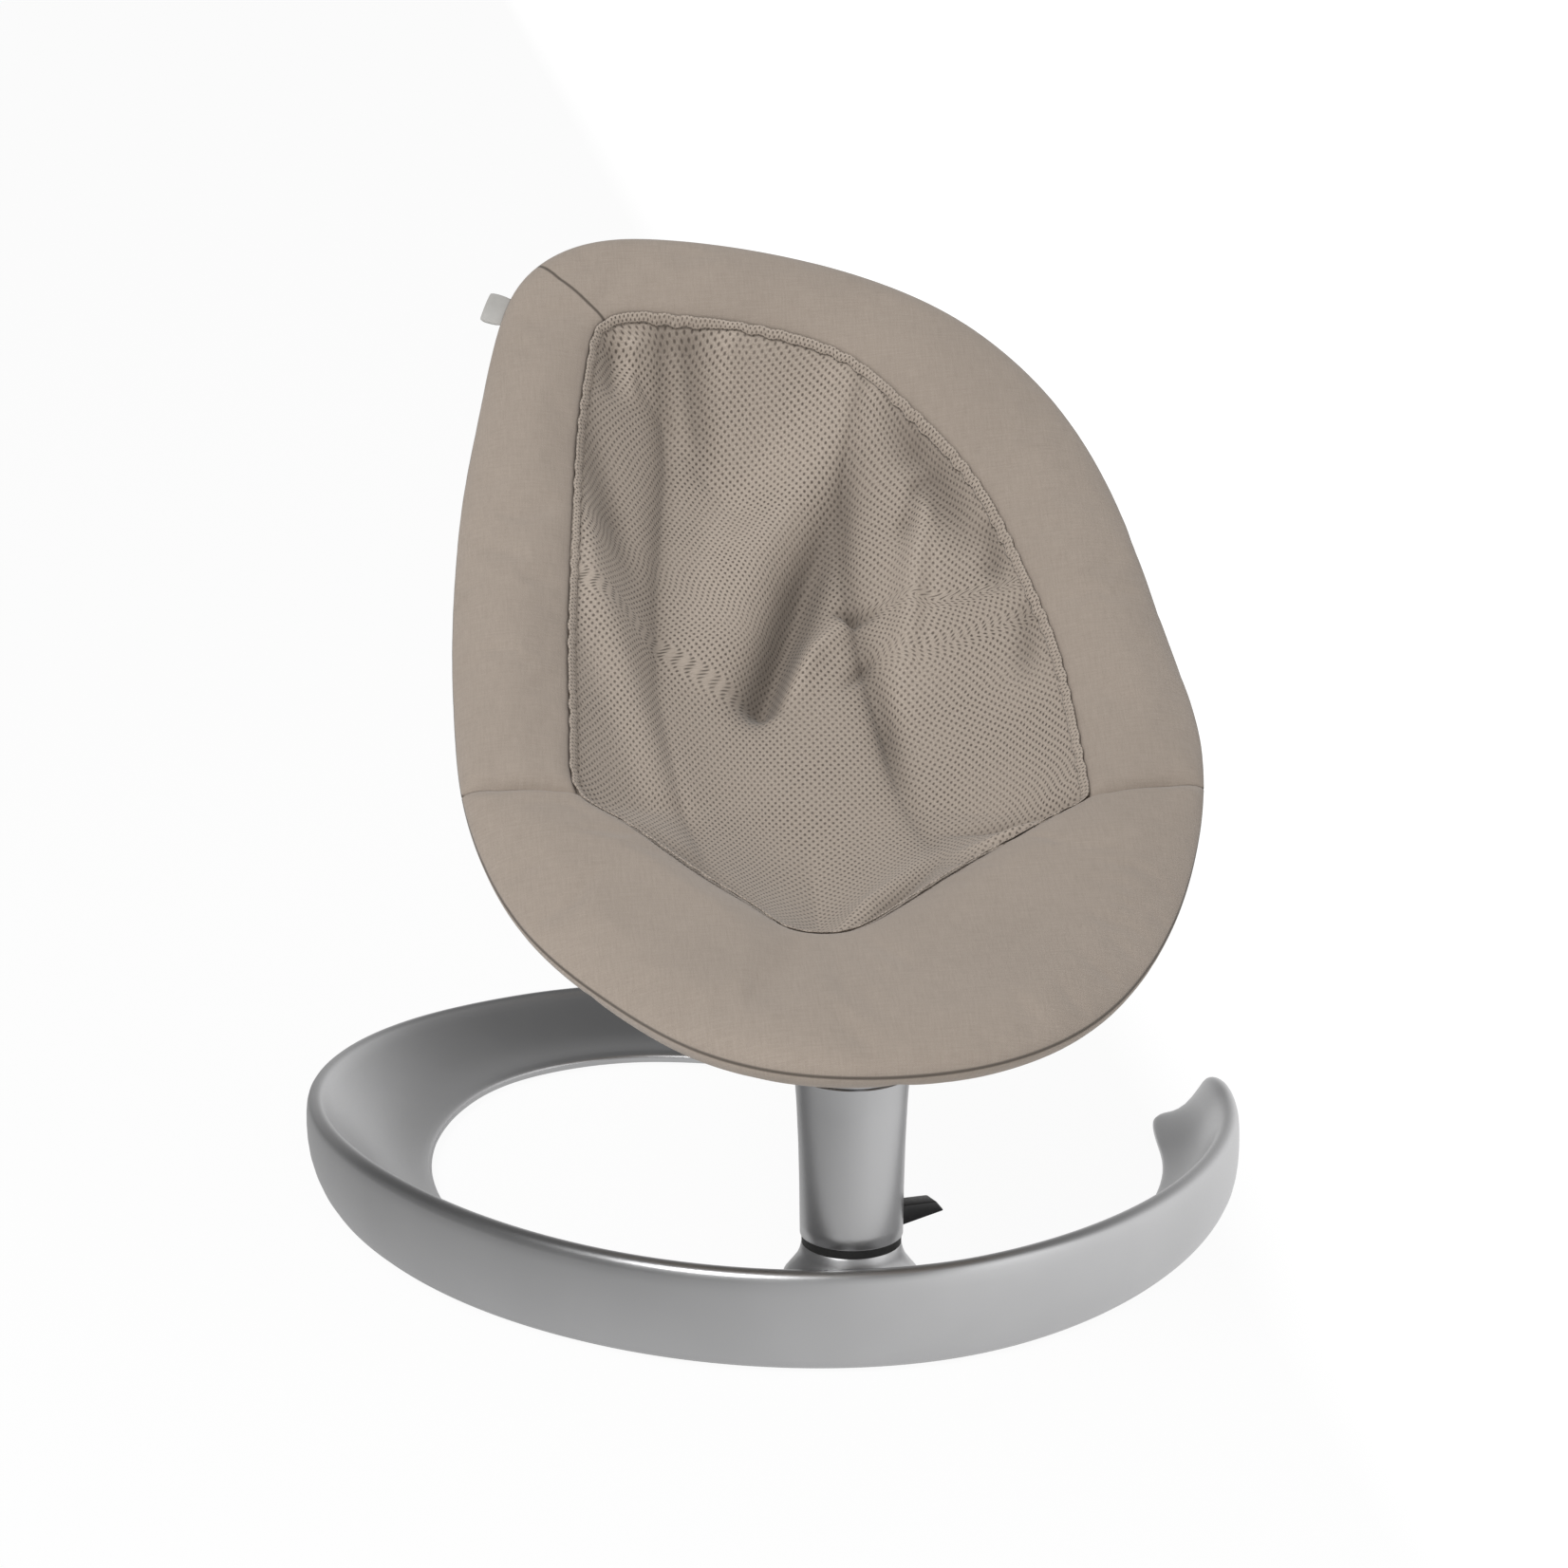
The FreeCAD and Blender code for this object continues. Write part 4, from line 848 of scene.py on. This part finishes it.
def makeSling():
    marks = [nearest(opening, corner) for corner in slingShape["corners"]]
    u = np.linspace(0, 1, slingShape["across"])
    v = np.linspace(0, 1, slingShape["along"])
    bottom = between(opening, marks[0], marks[1], u)
    top = between(opening, marks[2], marks[3], 1 - u)
    left = between(opening, marks[3], marks[0], 1 - v)
    right = between(opening, marks[1], marks[2], v)
    uu, vv = u[None, :, None], v[:, None, None]
    flat = ((1 - vv) * bottom[None] + vv * top[None] + (1 - uu) * left[:, None] + uu * right[:, None]
            - (1 - uu) * (1 - vv) * bottom[0] - uu * (1 - vv) * bottom[-1] - (1 - uu) * vv * top[0] - uu * vv * top[-1])
    relief = slingDepth(flat)
    rim = np.clip(insideDistance(flat) / 0.004, 0, 1)
    flat = flat + (1 - rim[..., None]) * slingOutward(flat) * slingShape["tuck"]  # the edge is sewn in under the pads
    points = onSeat(flat, relief)
    steps = np.linalg.norm(np.diff(points, axis=1), axis=2)
    middle = slingShape["across"] // 2
    acrossRun = np.concatenate([np.zeros((len(v), 1)), np.cumsum(steps, 1)], 1)
    acrossRun -= acrossRun[:, middle:middle + 1]
    spine = np.concatenate([[0], np.cumsum(np.linalg.norm(np.diff(points[:, middle], axis=0), axis=1))])
    order = np.argsort(flat[:, middle, 1])
    alongRun = np.interp(flat[..., 1], flat[order, middle, 1], spine[order])
    alongRun += np.maximum(0, flat[..., 1] - flat[:, middle, 1].max()) + np.minimum(0,
                                                                                    flat[..., 1] - flat[:, middle,
                                                                                                        1].min())
    count, rows = flat.shape[:2]
    faces, corners = [], []
    for i in range(count - 1):
        for j in range(rows - 1):
            quad = [(i, j), (i, j + 1), (i + 1, j + 1), (i + 1, j)]
            faces.append(tuple(a * rows + b for a, b in quad))
            corners += [(acrossRun[a, b], alongRun[a, b]) for a, b in quad]
    piece = meshPiece("meshSling", points.reshape(-1, 3), faces, corners, slingCloth)
    # painted shade: the fold relief's depth becomes a 0 to 1 mask that darkens the mesh colour in the folds
    paintedFoldShade = slingShape["foldGain"] * foldRelief(flat, slingShape["folds"])
    paintedFoldShade = np.clip((paintedFoldShade - slingShape["shadeFrom"]) / (slingShape["shadeTo"] - slingShape["shadeFrom"]), 0, 1)
    attribute = piece.data.attributes.new("paintedFoldShade", "FLOAT", "POINT")
    attribute.data.foreach_set("value", paintedFoldShade.ravel().astype(np.float32))
    useModifier(piece, "SUBSURF", "smooth", levels=1, render_levels=1)
    return piece


hemShape = {"stride": 3, "round": 10, "half": 0.0022, "thick": 0.0009, "inset": 0.0018, "wave": 0.0006,
            "waveLength": 0.013}


def makeHem():
    line = opening[::hemShape["stride"]]
    ahead = np.roll(line, -1, axis=0) - np.roll(line, 1, axis=0)
    ahead /= np.linalg.norm(ahead, axis=1)[:, None]
    inward = np.stack([-ahead[:, 1], ahead[:, 0]], 1)
    run = np.concatenate([[0], np.cumsum(np.linalg.norm(np.diff(line, axis=0), axis=1))])
    wave = hemShape["wave"] * np.sin(2 * math.pi * run / hemShape["waveLength"]) * np.sin(2 * math.pi * run / 0.11
                                                                                          + 1.0)
    turns = 2 * math.pi * np.arange(hemShape["round"]) / hemShape["round"]
    across = hemShape["inset"] + wave[:, None] + hemShape["half"] * np.cos(turns)[None]
    flat = line[:, None] + inward[:, None] * across[..., None]
    lift = slingDepth(line + inward * (hemShape["inset"] + hemShape["half"])) - 0.0012
    edge = seatShape["slingEdge"] - 0.0022
    level = edge + (lift[:, None] - edge) * np.clip(across / (2 * hemShape["half"]), 0, 1)
    depth = level - hemShape["thick"] * np.sin(turns)[None]
    points = onSeat(flat, depth)
    count, rows = depth.shape
    girth = np.linspace(0, 4 * hemShape["half"], rows + 1)
    total = run[-1] + np.linalg.norm(line[0] - line[-1])
    along = np.append(run, total)
    faces, corners = [], []
    for i in range(count):
        for j in range(rows):
            n, m = (j + 1) % rows, (i + 1) % count
            faces.append((i * rows + j, m * rows + j, m * rows + n, i * rows + n))
            corners += [(girth[j], along[i]), (girth[j], along[i + 1]), (girth[j + 1], along[i + 1]),
                        (girth[j + 1], along[i])]
    piece = meshPiece("slingHem", points.reshape(-1, 3), faces, corners, hemCloth)
    faceOutward(piece)
    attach(piece, "seat")
    return piece


meshSling = makeSling()
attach(meshSling, "seat")
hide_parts("mesh_sling")
slingHem = makeHem()
print("sling area", round(sum(face.area for face in meshSling.data.polygons), 4))
print("sling made")


# studio

studio = {
    "floorColour": (0.93, 0.93, 0.93), "floorGlow": 0.94, "worldLight": 0.44,
    "domeLow": 0.02, "domeHigh": 0.75, "ceiling": 0.22,
    "floorSpan": (-0.75, 0.45), "domeSpan": (-0.8, 0.6), "mirrorSpan": (0.20, 1.18),  # reflections, left to right
    "keyPower": 62.0, "fillPower": 10.0,
    "camera": (-0.2341, -1.8754, 0.8224), "pitch": 75, "yaw": -6, "lens": 85,
}


def seenBy(tree, path):  # camera, mirror and see-through rays
    mirrored = mathNode(tree, "MAXIMUM", path.outputs["Is Glossy Ray"], path.outputs["Is Transmission Ray"])
    return mathNode(tree, "MAXIMUM", path.outputs["Is Camera Ray"], mirrored)


def makeStudio():
    bpy.ops.mesh.primitive_plane_add(size=30, location=(0, 0, 0))
    floor = bpy.context.object
    floor.name = "floor"
    material, tree, surface = newMaterial("paleFloor")
    where = addNode(tree, "ShaderNodeTexCoord").outputs["Object"]
    cloud = noiseOn(tree, where, 3.0)
    shade = spread(tree, cloud, 0.3, 0.7, studio["floorColour"][0] - 0.004, studio["floorColour"][0] + 0.004)
    link(tree, addNode(tree, "ShaderNodeCombineColor", {0: shade, 1: shade, 2: shade}).outputs[0], surface,
         "Base Color")
    surface.inputs["Roughness"].default_value = 0.9
    surface.inputs["Specular IOR Level"].default_value = 0.0
    path = addNode(tree, "ShaderNodeLightPath")
    across = addNode(tree, "ShaderNodeSeparateXYZ", {0: where}).outputs[0]
    mirrored = spread(tree, across, *studio["floorSpan"], *studio["mirrorSpan"])
    strength = mathNode(tree, "MAXIMUM", path.outputs["Is Camera Ray"], mirrored)
    glow = addNode(tree, "ShaderNodeEmission", {"Color": (1, 1, 1, 1), "Strength": strength})
    blend = addNode(tree, "ShaderNodeMixShader",
                    {0: mathNode(tree, "MULTIPLY", seenBy(tree, path), studio["floorGlow"])})
    tree.links.new(surface.outputs[0], blend.inputs[1])
    tree.links.new(glow.outputs[0], blend.inputs[2])
    tree.links.new(blend.outputs[0], tree.nodes["Material Output"].inputs[0])
    floor.data.materials.append(material)
    world = bpy.data.worlds.new("studio")
    scene.world = world
    world.use_nodes = True
    tree = world.node_tree
    light = tree.nodes["Background"]
    path = addNode(tree, "ShaderNodeLightPath")
    seen = seenBy(tree, path)
    height = addNode(tree, "ShaderNodeSeparateXYZ",
                     {0: addNode(tree, "ShaderNodeTexCoord").outputs["Generated"]}).outputs[2]
    dome = addNode(tree, "ShaderNodeMapRange",
                   {0: height, 1: studio["domeLow"], 2: studio["domeHigh"], 3: 1.0,
                    4: studio["ceiling"]}, interpolation_type="SMOOTHSTEP").outputs[0]
    side = addNode(tree, "ShaderNodeSeparateXYZ",
                   {0: addNode(tree, "ShaderNodeTexCoord").outputs["Generated"]}).outputs[0]
    dome = mathNode(tree, "MULTIPLY", dome, spread(tree, side, *studio["domeSpan"], *studio["mirrorSpan"]))
    dome = mathNode(tree, "MAXIMUM", dome, path.outputs["Is Camera Ray"])
    plain = mathNode(tree, "MULTIPLY", mathNode(tree, "SUBTRACT", 1.0, seen), studio["worldLight"])
    strength = mathNode(tree, "ADD", mathNode(tree, "MULTIPLY", seen, dome), plain)
    light.inputs["Color"].default_value = (1, 1, 1, 1)
    link(tree, strength, light, "Strength")
    for name, place, size, power in (("keyLamp", (-1.6, -1.8, 2.4), 1.6, studio["keyPower"]),
                                     ("fillLamp", (2.2, -1.2, 1.6), 2.0, studio["fillPower"])):
        lamp = bpy.data.lights.new(name, "AREA")
        lamp.size = size
        lamp.energy = power
        holder = bpy.data.objects.new(name, lamp)
        scene.collection.objects.link(holder)
        holder.location = place
        holder.rotation_euler = (Vector((0, 0.2, 0.25)) - Vector(place)).to_track_quat("-Z", "Y").to_euler()
    eye = bpy.data.cameras.new("camera")
    eye.lens = studio["lens"]
    eye.sensor_width = 36
    holder = bpy.data.objects.new("camera", eye)
    scene.collection.objects.link(holder)
    holder.location = studio["camera"]
    holder.rotation_euler = (math.radians(studio["pitch"]), 0, math.radians(studio["yaw"]))
    scene.camera = holder


makeStudio()
scene.view_settings.view_transform = "Standard"
print("studio made")
